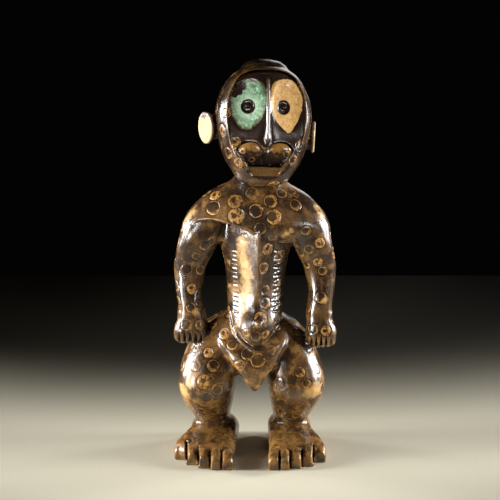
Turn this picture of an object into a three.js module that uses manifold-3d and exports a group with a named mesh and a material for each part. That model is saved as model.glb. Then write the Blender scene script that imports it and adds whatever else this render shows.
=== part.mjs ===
// A standing figure carved from one log of dark wood.
//
// Millimetres, +Z up. The figure faces -Y, and +X is the viewer's right. Its soles stand on z = 0, and
// the middle of its box is at x = y = 0.
//
// Most of the body is lofted: a row of level sections, each with its height, its half width, and how far
// it reaches to the front and to the back. The lofts are joined, and the carving is cut out of them.

import * as THREE from 'three';
import { mergeVertices } from 'three/addons/utils/BufferGeometryUtils.js';
import Module from 'manifold-3d';

const wasm = await Module();
wasm.setup();

// Height of the figure, and of its landmarks above the soles.
const HEIGHT = 400;
const HEAD_CENTRE = HEIGHT - 65;
const NECK = HEAD_CENTRE - 52;
const LEDGE = 240;
const ARMPIT = 221;
const ELBOW = 196;
const WRIST = 150;
const NAVEL = 146;
const CROTCH = 86;
const KNEE = 72;
const ANKLE = 29;

// The log leans, so each part of the body has its own middle line.
const FEET_MIDDLE = -3.5;
const LEGS_MIDDLE = -2.5;
const HIPS_MIDDLE = -3;
const TORSO_MIDDLE = 2;
const ARMS_MIDDLE = 1;
const SHOULDERS_MIDDLE = 2;
const NECK_MIDDLE = 6;
const HEAD_MIDDLE = 8.5;

// The head turns and tips a little to the viewer's right.
const HEAD_TURN = 6;
const HEAD_TIP = 2.5;

const VIEWERS_LEFT = -1;
const VIEWERS_RIGHT = 1;
const SIDES = [VIEWERS_LEFT, VIEWERS_RIGHT];

const DARK_WOOD = new THREE.MeshStandardMaterial({ color: 0x4a382a, roughness: 0.35, metalness: 0 });

// Solids and meshes

function solidOf(geometry) {
  const bare = geometry.index ? geometry.toNonIndexed() : geometry.clone();
  bare.deleteAttribute('normal');
  bare.deleteAttribute('uv');
  const merged = mergeVertices(bare, 1e-4);
  return new wasm.Manifold(new wasm.Mesh({
    numProp: 3,
    vertProperties: new Float32Array(merged.attributes.position.array),
    triVerts: new Uint32Array(merged.index.array),
  }));
}

function geometryOf(solid) {
  const mesh = solid.getMesh();
  const geometry = new THREE.BufferGeometry();
  geometry.setAttribute('position', new THREE.BufferAttribute(mesh.vertProperties, 3));
  geometry.setIndex(new THREE.BufferAttribute(mesh.triVerts, 1));
  geometry.computeVertexNormals();
  return geometry;
}

function joined(solids) {
  return solids.reduce((whole, solid) => whole.add(solid));
}

function moved(geometry, { at = [0, 0, 0], turn = 0, tip = 0, pitch = 0 }) {
  const degrees = THREE.MathUtils.degToRad;
  const euler = new THREE.Euler(degrees(pitch), degrees(tip), degrees(turn), 'ZYX');
  const matrix = new THREE.Matrix4().makeRotationFromEuler(euler).setPosition(...at);
  return geometry.clone().applyMatrix4(matrix);
}

// The loft's skin is a unit cylinder with its rows moved onto the sections. Each section is level, or
// upright where the loft is lying, and reaches to left, right, near (front or low) and far (back or
// high). It is a superellipse, and `across` and `deep` are the exponents of its near half: 2 and 2 an
// ellipse, more is squarer, and less gives a keel. A section may give its own two as further columns.
const ROUND = 2.3;

function loft(sections, { sides = 20, middle = 0, across = ROUND, deep = ROUND, lying = false } = {}) {
  const rising = sections[0][0] < sections.at(-1)[0];
  const ordered = rising === lying ? sections : [...sections].reverse();
  const rows = ordered.length - 1;
  const geometry = new THREE.CylinderGeometry(1, 1, 1, sides, rows);
  const position = geometry.attributes.position;
  for (let i = 0; i < position.count; i += 1) {
    const row = Math.round((position.getY(i) + 0.5) * rows);
    const [place, left, right, near, far, ownAcross = across, ownDeep = deep] = ordered[row];
    const radius = Math.min(1, Math.hypot(position.getX(i), position.getZ(i)));
    const angle = Math.atan2(position.getZ(i), position.getX(i));
    const [cos, sin] = [Math.cos(angle), Math.sin(angle)];
    const [acrossPower, deepPower] = sin < 0 ? [ownAcross, ownDeep] : [ROUND, ROUND];
    const bulge = Math.sign(cos) * Math.abs(cos) ** (2 / acrossPower) * radius;
    const rise = Math.sign(sin) * Math.abs(sin) ** (2 / deepPower) * radius;
    const x = middle + (left + right) / 2 + (right - left) / 2 * bulge;
    const y = (near + far) / 2 + (far - near) / 2 * rise;
    if (lying) position.setXYZ(i, x, place, y);
    else position.setXYZ(i, x, y, place);
  }
  return solidOf(geometry);
}

// Sections that are alike on both sides: height, half width, front, back.
function even(rows) {
  return rows.map(([height, half, front, back]) => [height, -half, half, front, back]);
}

// Sections of one of a pair: height, inner, outer, front, back, measured out from the middle line.
function paired(rows, side) {
  return rows.map(([height, inner, outer, front, back]) => (
    side === VIEWERS_LEFT ? [height, -outer, -inner, front, back] : [height, inner, outer, front, back]));
}

function ellipsoid(radii, placing, segments = 16) {
  const ball = new THREE.SphereGeometry(1, segments, Math.round(segments * 0.7));
  ball.rotateX(Math.PI / 2);
  ball.scale(...radii);
  return solidOf(moved(ball, placing));
}

// A prism through the figure from front to back, with its outline in x and z.
function throughCut(outline, front, back) {
  const shape = new THREE.Shape(outline.map(([x, z]) => new THREE.Vector2(x, z)));
  const prism = new THREE.ExtrudeGeometry(shape, { depth: back - front, bevelEnabled: false });
  prism.rotateX(Math.PI / 2);
  prism.translate(0, back, 0);
  return solidOf(prism);
}

// A cutter for a V shaped groove with square sides. Its sharp edge runs between two points under the
// surface, and it opens out to the front.
function groove(from, to, opening = 9) {
  const start = new THREE.Vector3(...from);
  const end = new THREE.Vector3(...to);
  const reach = 9;
  const shape = new THREE.Shape([
    new THREE.Vector2(0, 0),
    new THREE.Vector2(-opening, -reach),
    new THREE.Vector2(opening, -reach),
  ]);
  const prism = new THREE.ExtrudeGeometry(shape, { depth: start.distanceTo(end), bevelEnabled: false });
  const forward = end.clone().sub(start).normalize();
  const back = new THREE.Vector3(0, 1, 0);
  const side = new THREE.Vector3().crossVectors(back, forward).normalize();
  const inward = new THREE.Vector3().crossVectors(forward, side).normalize();
  return solidOf(prism.applyMatrix4(new THREE.Matrix4().makeBasis(side, inward, forward).setPosition(start)));
}

// Head. It is modelled about its own centre, then turned and set on the neck.

const EYE_ACROSS = 19.5;
const EYE_UP = 27;
const PUPIL_ACROSS = 17.6;
const PUPIL_UP = 25.5;
const PUPIL_RADIUS = 6.8;
const FLAT_BOTTOM = -24;

function skull() {
  return loft(even([
    [-53, 18, -30, 14],
    [-49, 24.5, -37, 20],
    [-42, 29.8, -41, 26],
    [-33, 35.8, -43.5, 32],
    [-20, 41.4, -44.5, 37],
    [-5, 44.8, -44, 41],
    [12, 47, -41.5, 43],
    [26, 45, -38, 42],
    [38, 40, -34, 39],
    [47, 34.5, -31, 33],
    [54, 27, -28.5, 26],
    [59, 17, -26, 18],
    [61, 8, -22, 10],
  ]), { sides: 26, across: 2.8, deep: 2.6 });
}

function topKnot() {
  return loft(even([
    [54, 23.5, -14, 32],
    [58, 22, -13, 31],
    [61.5, 18, -9, 27],
    [64, 13, -4, 22],
    [65, 7, 2, 16],
  ]), { sides: 18 });
}

function nose() {
  return loft(even([
    [52, 1.5, -33, -20],
    [40, 2, -38, -20],
    [20, 2.5, -43, -20],
    [2, 3.5, -47.5, -20],
    [-5, 5, -48.5, -20],
    [-9, 3.5, -46, -20],
  ]), { sides: 10, across: 3, deep: 3 });
}

// The face is two flats that meet at the nose. Each holds a dished eye with a pit for its pupil.
const FACE_FRONT = -39.5;
const FLAT_TURN = 20;
const FLAT_PITCH = -13;

function flatPoint(side, across, up, proud) {
  const slope = Math.tan(THREE.MathUtils.degToRad(FLAT_TURN));
  const rise = Math.tan(THREE.MathUtils.degToRad(-FLAT_PITCH));
  return [side * across, FACE_FRONT + slope * across + rise * (up - EYE_UP) - proud, up];
}

function onFlat(side, across, up, proud) {
  return { at: flatPoint(side, across, up, proud), turn: side * FLAT_TURN, pitch: FLAT_PITCH };
}

// What lies in front of one flat, on its own side of the nose and above the jaw.
function faceFlat(side) {
  const size = 100;
  const overlap = size * 0.2;
  const block = new THREE.BoxGeometry(size, size, size);
  block.translate(side * (size / 2 - overlap), -size / 2, 0);
  const inFront = solidOf(moved(block, onFlat(side, 0, EYE_UP, 0)));
  const quarter = new THREE.BoxGeometry(size, 2 * size, size);
  quarter.translate(side * size / 2, 0, size / 2 + FLAT_BOTTOM);
  return inFront.intersect(solidOf(quarter));
}

function eye(side) {
  return ellipsoid([17.5, 3.6, 24.5], onFlat(side, EYE_ACROSS, EYE_UP, 0), 16);
}

function pupil(side) {
  const pit = new THREE.CylinderGeometry(PUPIL_RADIUS * 0.75, PUPIL_RADIUS, 10, 14);
  return solidOf(moved(pit, onFlat(side, PUPIL_ACROSS, PUPIL_UP, -1.6)));
}

function pupilKnob(side) {
  return ellipsoid([2.4, 3, 2.4], onFlat(side, PUPIL_ACROSS, PUPIL_UP, -6.6), 8);
}

// The jaw is a trapezoid band. The mouth is cut into it, under two arches, with two rounded lobes left
// inside.
const JAW_MIDDLE = -1.5;
const JAW_TOP = -14;
const JAW_BOTTOM = -32;
const JAW_TOP_HALF = 29;
const JAW_BOTTOM_HALF = 16.5;
const JAW_FRONT = -46.5;
const MOUTH_BACK = -36;

const ARCH_ACROSS = 14.5;
const ARCH_HALF = 12.5;
const ARCH_FOOT = -15.5;
const ARCH_RISE = 8.5;
const ARCH_STEPS = 6;

// In front of everything on the head.
const CLEAR_OF_FACE = -60;

function jawOutline(grow) {
  const [top, bottom] = [JAW_TOP_HALF + grow, JAW_BOTTOM_HALF + grow / 2];
  return [
    [JAW_MIDDLE - top, JAW_TOP + grow],
    [JAW_MIDDLE - bottom, JAW_BOTTOM - grow],
    [JAW_MIDDLE + bottom, JAW_BOTTOM - grow],
    [JAW_MIDDLE + top, JAW_TOP + grow],
  ];
}

function jaw() {
  return throughCut(jawOutline(2.5), JAW_FRONT, -28);
}

// From its right foot to its left one.
function arch(middle) {
  const points = [];
  for (let step = 0; step <= ARCH_STEPS; step += 1) {
    const angle = Math.PI * step / ARCH_STEPS;
    points.push([middle + ARCH_HALF * Math.cos(angle), ARCH_FOOT + ARCH_RISE * Math.sin(angle)]);
  }
  return points;
}

function mouth() {
  const arches = [...arch(JAW_MIDDLE + ARCH_ACROSS), ...arch(JAW_MIDDLE - ARCH_ACROSS)];
  return throughCut([...jawOutline(-1), ...arches], CLEAR_OF_FACE, MOUTH_BACK);
}

function lobe(side) {
  return ellipsoid([12.6, 9, 11], { at: [JAW_MIDDLE + side * 13.6, MOUTH_BACK, -18.5], pitch: 12 }, 12);
}

function chinStripe() {
  const [top, bottom] = [-34.5, -41];
  const outline = [[-17, top], [-12, bottom], [10, bottom], [15, top]];
  return throughCut(outline, CLEAR_OF_FACE, -40.5);
}

const EARS = [
  { side: VIEWERS_LEFT, turn: 55, across: -55.5, back: 0, up: -2, lean: 6 },
  { side: VIEWERS_RIGHT, turn: 74, across: 49.5, back: 2, up: -9, lean: 9 },
];

function ear({ side, turn, across, back, up, lean }) {
  const placing = { at: [across, back, up], turn: side * turn, tip: side * lean };
  const disc = new THREE.CylinderGeometry(1, 0.94, 4, 16);
  disc.scale(11, 1, 15.6);
  const stalk = new THREE.CylinderGeometry(0.9, 1, 16, 12);
  stalk.scale(8.5, 1, 13);
  stalk.translate(0, 9, 0);
  return solidOf(moved(disc, placing)).add(solidOf(moved(stalk, placing)));
}

function head() {
  const masses = joined([skull(), topKnot(), jaw()]);
  const hollows = joined([...SIDES.map(faceFlat), ...SIDES.map(eye), mouth(), chinStripe()]);
  const carved = joined([masses.subtract(hollows), nose(), ...SIDES.map(lobe)]);
  const pierced = carved.subtract(joined(SIDES.map(pupil)));
  return geometryOf(joined([pierced, ...SIDES.map(pupilKnob), ...EARS.map(ear)]));
}

function placedHead() {
  return solidOf(moved(head(), { at: [HEAD_MIDDLE, 0, HEAD_CENTRE], turn: HEAD_TURN, tip: HEAD_TIP }));
}

function neck() {
  return loft(even([
    [NECK - 22, 26, -16, 22],
    [NECK - 6, 24, -15, 20],
    [NECK + 8, 23, -14, 18],
  ]), { sides: 16, middle: NECK_MIDDLE });
}

// Shoulders, with a sharp ledge under the chest

function shoulders() {
  return loft(even([
    [NECK, 22, -14, 18],
    [278, 32, -20, 21],
    [272, 44, -25, 23],
    [266, 53, -29, 25],
    [259, 60, -32, 26],
    [252, 66.5, -34, 26],
    [246, 70, -35.5, 25.5],
    [LEDGE, 72.5, -35.5, 24],
    [232, 74, -32, 20],
    [224, 73, -25, 14],
  ]), { sides: 22, middle: SHOULDERS_MIDDLE, across: 2.5, deep: 2.2 });
}

// On the viewer's left the chest is cut back under the ledge.
function underLedge() {
  return throughCut([
    [-90, 215], [4, 215], [4, 234], [-6, 240], [-22, 245], [-41, 249], [-55, 247.5], [-64, 243], [-90, 232],
  ], -60, -17);
}

// Torso, with a keel down its front that fades into the round belly

const TORSO = [
  [252, -37, 36, -33, 23, 1.2, 1.6],
  [236, -37, 36, -36, 24, 1.15, 1.5],
  [ARMPIT, -36.5, 36, -36, 23, 1.15, 1.4],
  [206, -32.5, 32.5, -35.5, 21, 1.15, 1.4],
  [190, -30, 29, -34.5, 19, 1.15, 1.4],
  [170, -29, 28, -34, 18, 1.2, 1.5],
  [157, -28.5, 27.5, -35, 19, 1.5, 1.8],
  [NAVEL, -28, 25.5, -38, 22, 1.9, 2],
  [136, -25, 21.5, -39.5, 25, 2.2, 2.2],
  [127, -16, 14, -38, 25, ROUND, ROUND],
  [120, -6, 6, -34, 22, ROUND, ROUND],
];

function torso() {
  return loft(TORSO, { sides: 20, middle: TORSO_MIDDLE });
}

// How far forward the torso reaches at a height and a place across.
function torsoFront(height, across) {
  const below = TORSO.findIndex(([place]) => place <= height);
  const [upper, lower] = [TORSO[below - 1], TORSO[below]];
  const t = (upper[0] - height) / (upper[0] - lower[0]);
  const [left, right, near, far, acrossPower, deepPower] = [1, 2, 3, 4, 5, 6].map(
    (k) => THREE.MathUtils.lerp(upper[k], lower[k], t));
  const bulge = Math.abs((across - TORSO_MIDDLE - (left + right) / 2) / ((right - left) / 2));
  return (near + far) / 2 - (far - near) / 2 * (1 - bulge ** acrossPower) ** (1 / deepPower);
}

function navel() {
  return ellipsoid([4.8, 6, 4.8], { at: [4, -38, NAVEL] }, 10);
}

// The carver's scars: a ladder of notches down each side of the belly.
const SCAR_ROWS = 15;
const SCAR_TOP = 216;
const SCAR_PITCH = 4.4;
const SCAR_REACH = 4;
const SCAR_DEPTH = 1.2;

function scars(side) {
  const cuts = [];
  for (let row = 0; row < SCAR_ROWS; row += 1) {
    const height = SCAR_TOP - row * SCAR_PITCH;
    const middle = TORSO_MIDDLE + side * (20.5 - row * 0.12);
    const [from, to] = [middle - SCAR_REACH, middle + SCAR_REACH].map(
      (across) => [across, torsoFront(height, across) + SCAR_DEPTH, height]);
    cuts.push(groove(from, to));
  }
  return joined(cuts);
}

// Arms and hands, hanging free of the torso and resting against the thighs

function arm(side) {
  return loft(paired([
    [256, 20, 56, -24, 18],
    [246, 26, 67, -25, 17],
    [233, 31, 73, -26, 17],
    [ARMPIT, 36, 76.5, -24, 17],
    [208, 42, 79, -20, 17],
    [ELBOW, 48, 81, -17, 17],
    [184, 51, 80.5, -17.5, 15],
    [170, 53, 79, -19.5, 11],
    [158, 52.5, 77, -21.5, 7],
    [WRIST, 51, 77, -21.5, 6],
    [144, 51.5, 76, -20, 4],
  ], side), { sides: 12, middle: ARMS_MIDDLE, across: 2.8, deep: 2.6 });
}

// How much lower each hand hangs, and how much narrower it is.
const HANDS = { [VIEWERS_LEFT]: { drop: 0, inner: 48 }, [VIEWERS_RIGHT]: { drop: 4, inner: 51.5 } };
const FINGER_GROOVES = 5;

function hand(side) {
  const { drop, inner } = HANDS[side];
  const outer = 81;
  const palm = loft(paired([
    [WRIST + 1, inner + 2, outer - 4, -20.5, 5],
    [142, inner + 0.5, outer - 3, -23, 4],
    [134, inner, outer, -24.5, 3],
    [128 - drop, inner - 0.5, outer + 0.5, -24, 1],
    [122 - drop, inner, outer - 1, -22, -2],
    [119 - drop, inner + 2, outer - 5, -19, -6],
  ], side), { sides: 14, middle: ARMS_MIDDLE, across: 3, deep: 3 });
  const cuts = [];
  for (let finger = 1; finger <= FINGER_GROOVES; finger += 1) {
    const across = ARMS_MIDDLE + side * THREE.MathUtils.lerp(inner, outer, finger / (FINGER_GROOVES + 1));
    cuts.push(groove([across, -22.3, 131 - drop], [across, -14, 112 - drop], 5));
  }
  return palm.subtract(joined(cuts));
}

// Hips, with the pointed apron in front

function hips() {
  return loft(even([
    [151, 18, -14, 16],
    [147, 26, -19, 23],
    [142, 35, -24, 31],
    [136, 43, -27, 35],
    [127, 53, -28.5, 38],
    [115, 61, -30, 38],
    [102, 64, -30, 36],
    [92, 58, -27, 31],
    [CROTCH, 48, -20, 22],
  ]), { sides: 18, middle: HIPS_MIDDLE });
}

function buttock(side) {
  return ellipsoid([28, 22, 25], { at: [HIPS_MIDDLE + side * 25, 25, 113] }, 12);
}

function apron() {
  return loft([
    [143, -16, 15, -20, -8],
    [137, -28, 26, -27, -10],
    [129, -35, 32, -34, -10],
    [123, -34.5, 31.5, -38.5, -10],
    [117, -31, 28.5, -41.5, -10],
    [107, -25.5, 23.5, -44, -10],
    [97, -18.5, 17.5, -44.5, -11],
    [88, -11.5, 11, -43.5, -14],
    [80, -6, 6, -41, -20],
    [75, -2.5, 2.5, -37, -25],
  ], { sides: 16, middle: 0.5, across: 2.4, deep: 4 });
}

// Legs, bulging at the knee, with the shin set back under it

function leg(side) {
  return loft(paired([
    [130, 16, 48, -18, 34],
    [119, 13, 58.5, -26, 39],
    [107, 12, 66, -31, 37],
    [95, 13, 70.5, -34.5, 32],
    [84, 15, 73, -36.5, 29],
    [KNEE, 16.5, 74, -36.5, 29],
    [61, 18, 72, -32, 31],
    [52, 19, 68.5, -26, 34],
    [41, 21, 62.5, -15.5, 36],
    [ANKLE, 22.5, 58, -4, 37],
    [22, 20, 60, 0, 40],
  ], side), { sides: 16, middle: LEGS_MIDDLE, across: 2.5, deep: 2.4 });
}

// Feet. Each foot's toes end on the curve of the log, the big toe foremost.

const FEET = {
  [VIEWERS_LEFT]: {
    toeTips: [-60, -59.5, -55, -46, -31],
    toeMiddles: [23.5, 34.5, 46.5, 58.5, 70.5],
    body: [
      [46, 19, 36, -3, 10],
      [43, 13.5, 42, -3, 18],
      [36, 12, 49, -3, 25],
      [22, 13, 56, -3, 31],
      [8, 14, 61, -3, 32],
      [-6, 14.5, 68, -3, 29],
      [-18, 15, 75, -3, 25],
      [-28, 16, 74, -3, 21],
      [-37, 17, 66, -3, 18],
      [-44, 19, 52, -3, 14],
    ],
  },
  [VIEWERS_RIGHT]: {
    toeTips: [-60, -60, -56, -50, -39],
    toeMiddles: [24, 34, 45.5, 57.5, 69.5],
    body: [
      [46, 23, 40, -3, 10],
      [43, 19.5, 45, -3, 18],
      [36, 18.5, 52, -3, 25],
      [22, 18.5, 59, -3, 31],
      [8, 18.5, 62, -3, 32],
      [-6, 18.5, 68, -3, 29],
      [-18, 18.5, 74, -3, 25],
      [-28, 18.5, 75, -3, 21],
      [-37, 18.5, 68, -3, 18],
      [-44, 19, 52, -3, 14],
    ],
  },
};

function toe(side, middle, tip) {
  return loft([
    [tip + 24, -2.5, 2.5, 2, 10],
    [tip + 12, -5.8, 5.8, -3, 15],
    [tip + 2.5, -4.9, 4.9, -3, 12],
    [tip, -3.6, 3.6, -1, 9.5],
  ], { sides: 10, middle: FEET_MIDDLE + side * middle, across: 3, deep: 2.8, lying: true });
}

function foot(side) {
  const { toeTips, toeMiddles, body } = FEET[side];
  const instep = loft(paired(body, side), {
    sides: 16, middle: FEET_MIDDLE, across: 2.6, deep: 2.6, lying: true,
  });
  return joined([instep, ...toeTips.map((tip, i) => toe(side, toeMiddles[i], tip))]);
}

// Slivers left by the joins are closed up below this.
const SHORTEST_EDGE = 0.03;

// What lies under the soles is cut away flat.
function underground() {
  const depth = 40;
  return solidOf(moved(new THREE.BoxGeometry(HEIGHT, HEIGHT, depth), { at: [0, 0, -depth / 2] }));
}

function figureSolid() {
  const chest = shoulders().subtract(underLedge());
  const trunk = joined([torso(), navel()]).subtract(joined(SIDES.map(scars)));
  const body = joined([chest, trunk, neck(), hips(), ...SIDES.map(buttock), apron()]);
  const limbs = joined([...SIDES.map(arm), ...SIDES.map(hand), ...SIDES.map(leg), ...SIDES.map(foot)]);
  return joined([body, limbs, placedHead()]).subtract(underground()).simplify(SHORTEST_EDGE);
}

const figure = new THREE.Mesh(geometryOf(figureSolid()), DARK_WOOD);
figure.name = 'figure';

// The lean of the log is taken up by setting the middle of the box on the origin.
figure.geometry.computeBoundingBox();
const { min, max } = figure.geometry.boundingBox;
figure.position.set(-(min.x + max.x) / 2, -(min.y + max.y) / 2, -min.z);

const group = new THREE.Group();
group.add(figure);

export default group;
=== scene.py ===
# A standing figure carved from one log of dark wood: its carving, stamped rings, pigment and patina.
#
# The shape is worked out in millimetres, in the figure's own coordinates: +Z is up from the soles, it
# faces -Y, and +X is the viewer's right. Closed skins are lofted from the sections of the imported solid,
# turned into distances on one lattice, joined softly there, and skinned again as a single mesh. That
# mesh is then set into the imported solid's box, in metres.

import math

import bpy
import numpy as np
import openvdb
from mathutils import Matrix, Vector
from mathutils.geometry import tessellate_polygon


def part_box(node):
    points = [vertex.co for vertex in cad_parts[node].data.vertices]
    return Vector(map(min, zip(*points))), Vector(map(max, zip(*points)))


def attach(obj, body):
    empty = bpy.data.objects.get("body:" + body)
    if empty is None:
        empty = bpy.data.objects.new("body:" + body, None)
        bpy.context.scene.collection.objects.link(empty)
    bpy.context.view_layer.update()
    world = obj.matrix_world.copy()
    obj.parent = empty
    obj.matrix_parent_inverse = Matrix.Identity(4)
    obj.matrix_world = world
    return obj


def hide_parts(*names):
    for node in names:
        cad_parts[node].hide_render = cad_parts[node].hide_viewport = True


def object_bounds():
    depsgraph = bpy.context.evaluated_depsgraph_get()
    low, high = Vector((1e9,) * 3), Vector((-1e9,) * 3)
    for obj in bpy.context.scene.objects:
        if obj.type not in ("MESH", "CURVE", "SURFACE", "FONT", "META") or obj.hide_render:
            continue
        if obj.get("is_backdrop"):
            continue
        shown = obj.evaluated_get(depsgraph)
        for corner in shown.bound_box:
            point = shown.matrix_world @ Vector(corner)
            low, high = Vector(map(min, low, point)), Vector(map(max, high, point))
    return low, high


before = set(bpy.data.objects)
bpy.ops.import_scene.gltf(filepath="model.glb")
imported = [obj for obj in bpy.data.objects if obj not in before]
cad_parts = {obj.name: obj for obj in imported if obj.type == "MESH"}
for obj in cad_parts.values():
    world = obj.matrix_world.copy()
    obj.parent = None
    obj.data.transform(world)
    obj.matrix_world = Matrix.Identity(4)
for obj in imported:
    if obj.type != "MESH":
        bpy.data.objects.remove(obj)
cad_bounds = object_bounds()

# Height of the figure, and of its landmarks above the soles.
HEIGHT = 400
HEAD_CENTRE = HEIGHT - 65
NECK = HEAD_CENTRE - 52
LEDGE = 240
ARMPIT = 221
ELBOW = 196
WRIST = 150
NAVEL = 146
CROTCH = 86
KNEE = 72
ANKLE = 29

# The log leans, so each part of the body has its own middle line.
FEET_MIDDLE = -3.5
LEGS_MIDDLE = -2.5
HIPS_MIDDLE = -3
TORSO_MIDDLE = 2
ARMS_MIDDLE = 1
SHOULDERS_MIDDLE = 2
NECK_MIDDLE = 6
HEAD_MIDDLE = 8.5

VIEWERS_LEFT = -1
VIEWERS_RIGHT = 1
SIDES = (VIEWERS_LEFT, VIEWERS_RIGHT)

# The lattice of distances, which holds the whole figure, and how far from a skin they are kept.
VOXEL = 0.8
LATTICE_LOW = np.array([-92.0, -70.0, -8.0])
LATTICE_HIGH = np.array([94.0, 58.0, 410.0])
LATTICE_SHAPE = tuple(int(n) for n in np.ceil((LATTICE_HIGH - LATTICE_LOW) / VOXEL) + 1)
REACH = 10.0

MOST_TRIANGLES = 190_000


# Skins. Each is (points, triangles) of a closed surface.


def ring_skin(rows):
    """The skin over rows of points, each row a closed ring, with a fan at both ends."""
    rows = np.asarray(rows, float)
    count, sides = rows.shape[:2]
    ends = np.stack((rows[0].mean(0), rows[-1].mean(0)))
    points = np.concatenate((rows.reshape(-1, 3), ends))
    here = np.arange(sides)
    after = np.roll(here, -1)
    triangles = []
    for row in range(count - 1):
        low, high = row * sides, (row + 1) * sides
        triangles.append(np.stack((low + here, low + after, high + after), 1))
        triangles.append(np.stack((low + here, high + after, high + here), 1))
    first, last = count * sides, count * sides + 1
    top = (count - 1) * sides
    triangles.append(np.stack((np.full(sides, first), after, here), 1))
    triangles.append(np.stack((np.full(sides, last), top + here, top + after), 1))
    return points, np.concatenate(triangles)


def eased(sections, step):
    """The sections at close even places, with each column on a smooth curve through its values."""
    table = np.array(sorted(sections), float)
    places, values = table[:, 0], table[:, 1:]
    slopes = np.gradient(values, places, axis=0)
    count = max(2, round((places[-1] - places[0]) / step))
    at = np.linspace(places[0], places[-1], count + 1)
    k = np.clip(np.searchsorted(places, at, side="right") - 1, 0, len(places) - 2)
    span = (places[k + 1] - places[k])[:, None]
    t = (at - places[k])[:, None] / span
    smooth = (
        (2 * t**3 - 3 * t**2 + 1) * values[k]
        + (t**3 - 2 * t**2 + t) * span * slopes[k]
        + (3 * t**2 - 2 * t**3) * values[k + 1]
        + (t**3 - t**2) * span * slopes[k + 1]
    )
    return np.column_stack((at, smooth))


# A loft goes through sections: place, left, right, near (front or low), far (back or high), and the two
# exponents of its near half, across and deep. 2 and 2 is an ellipse, more is squarer, less gives a keel.
ROUND = 2.3


def loft(sections, middle=0, across=ROUND, deep=ROUND, lying=False, step=1.5, sides=96):
    full = [s if len(s) == 7 else (*s, across, deep) for s in sections]
    place, left, right, near, far, own_across, own_deep = eased(full, step).T[:, :, None]
    angles = np.linspace(0, 2 * math.pi, sides, endpoint=False)
    cos, sin = np.cos(angles), np.sin(angles)
    across_power = np.where(sin < 0, own_across, ROUND)
    deep_power = np.where(sin < 0, own_deep, ROUND)
    bulge = np.sign(cos) * np.abs(cos) ** (2 / across_power)
    rise = np.sign(sin) * np.abs(sin) ** (2 / deep_power)
    x = middle + (left + right) / 2 + (right - left) / 2 * bulge
    y = (near + far) / 2 + (far - near) / 2 * rise
    place = np.broadcast_to(place, x.shape)
    return ring_skin(np.stack((x, place, y) if lying else (x, y, place), -1))


def even(rows):
    """Sections that are alike on both sides: height, half width, front, back."""
    return [(height, -half, half, front, back) for height, half, front, back in rows]


def paired(rows, side):
    """Sections of one of a pair: height, inner, outer, front, back, out from the middle line."""
    if side == VIEWERS_LEFT:
        return [(height, -outer, -inner, *rest) for height, inner, outer, *rest in rows]
    return [tuple(row) for row in rows]


def turned(at=(0, 0, 0), turn=0, tip=0, pitch=0):
    """The matrix that pitches about X, tips about Y, turns about Z and then moves to a point."""
    turns = ((turn, "Z"), (tip, "Y"), (pitch, "X"))
    matrix = Matrix.Translation(at)
    for degrees, axis in turns:
        matrix = matrix @ Matrix.Rotation(math.radians(degrees), 4, axis)
    return np.array(matrix)


def moved(skin, matrix):
    points, triangles = skin
    return points @ matrix[:3, :3].T + matrix[:3, 3], triangles


def ball(radii, matrix, sides=48):
    """An ellipsoid about the matrix's origin."""
    up = np.linspace(-0.98, 0.98, sides // 2) * math.pi / 2
    angles = np.linspace(0, 2 * math.pi, sides, endpoint=False)
    x = np.cos(up)[:, None] * np.cos(angles)
    y = np.cos(up)[:, None] * np.sin(angles)
    z = np.broadcast_to(np.sin(up)[:, None], x.shape)
    return moved(ring_skin(np.stack((x, y, z), -1) * np.array(radii)), matrix)


def prism(outline, front, back):
    """A prism from front to back, with its outline in x and z."""
    count = len(outline)
    points = np.array([(x, y, z) for y in (front, back) for x, z in outline], float)
    caps = np.array(tessellate_polygon([[Vector((x, z, 0)) for x, z in outline]]))
    here = np.arange(count)
    after = np.roll(here, -1)
    walls = (
        np.stack((here, after, count + after), 1),
        np.stack((here, count + after, count + here), 1),
    )
    return points, np.concatenate((caps, caps + count, *walls))


def tube(path, radius):
    """A round bar through some points, as a smooth curve that thins at both ends."""
    path = np.asarray(path, float)
    lengths = np.concatenate(([0], np.cumsum(np.linalg.norm(np.diff(path, axis=0), axis=1))))
    along = eased([(s, *point) for s, point in zip(lengths, path)], 1.5)[:, 1:]
    forward = np.gradient(along, axis=0)
    forward /= np.linalg.norm(forward, axis=1, keepdims=True)
    side = np.cross(forward, (0, 1, 0))
    side /= np.linalg.norm(side, axis=1, keepdims=True)
    up = np.cross(side, forward)
    share = np.linspace(0, 1, len(along))
    radii = radius * np.sqrt(np.clip(4 * share * (1 - share) * 3, 0.1, 1))
    angles = np.linspace(0, 2 * math.pi, 16, endpoint=False)[:, None]
    rows = [
        middle + r * (np.cos(angles) * s + np.sin(angles) * u)
        for middle, r, s, u in zip(along, radii, side, up)
    ]
    return ring_skin(rows)


GROOVE_REACH = 9


def groove(start, end, opening, reach=GROOVE_REACH):
    """A cutter for a V shaped groove: its sharp edge runs between two points, and it opens forward."""
    start, end = Vector(start), Vector(end)
    forward = (end - start).normalized()
    side = Vector((0, 1, 0)).cross(forward).normalized()
    inward = forward.cross(side).normalized()
    outward = -inward * reach
    section = (Vector((0, 0, 0)), outward - side * opening, outward + side * opening)
    return ring_skin([[tuple(end_point + p) for p in section] for end_point in (start, end)])


# Distances


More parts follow.
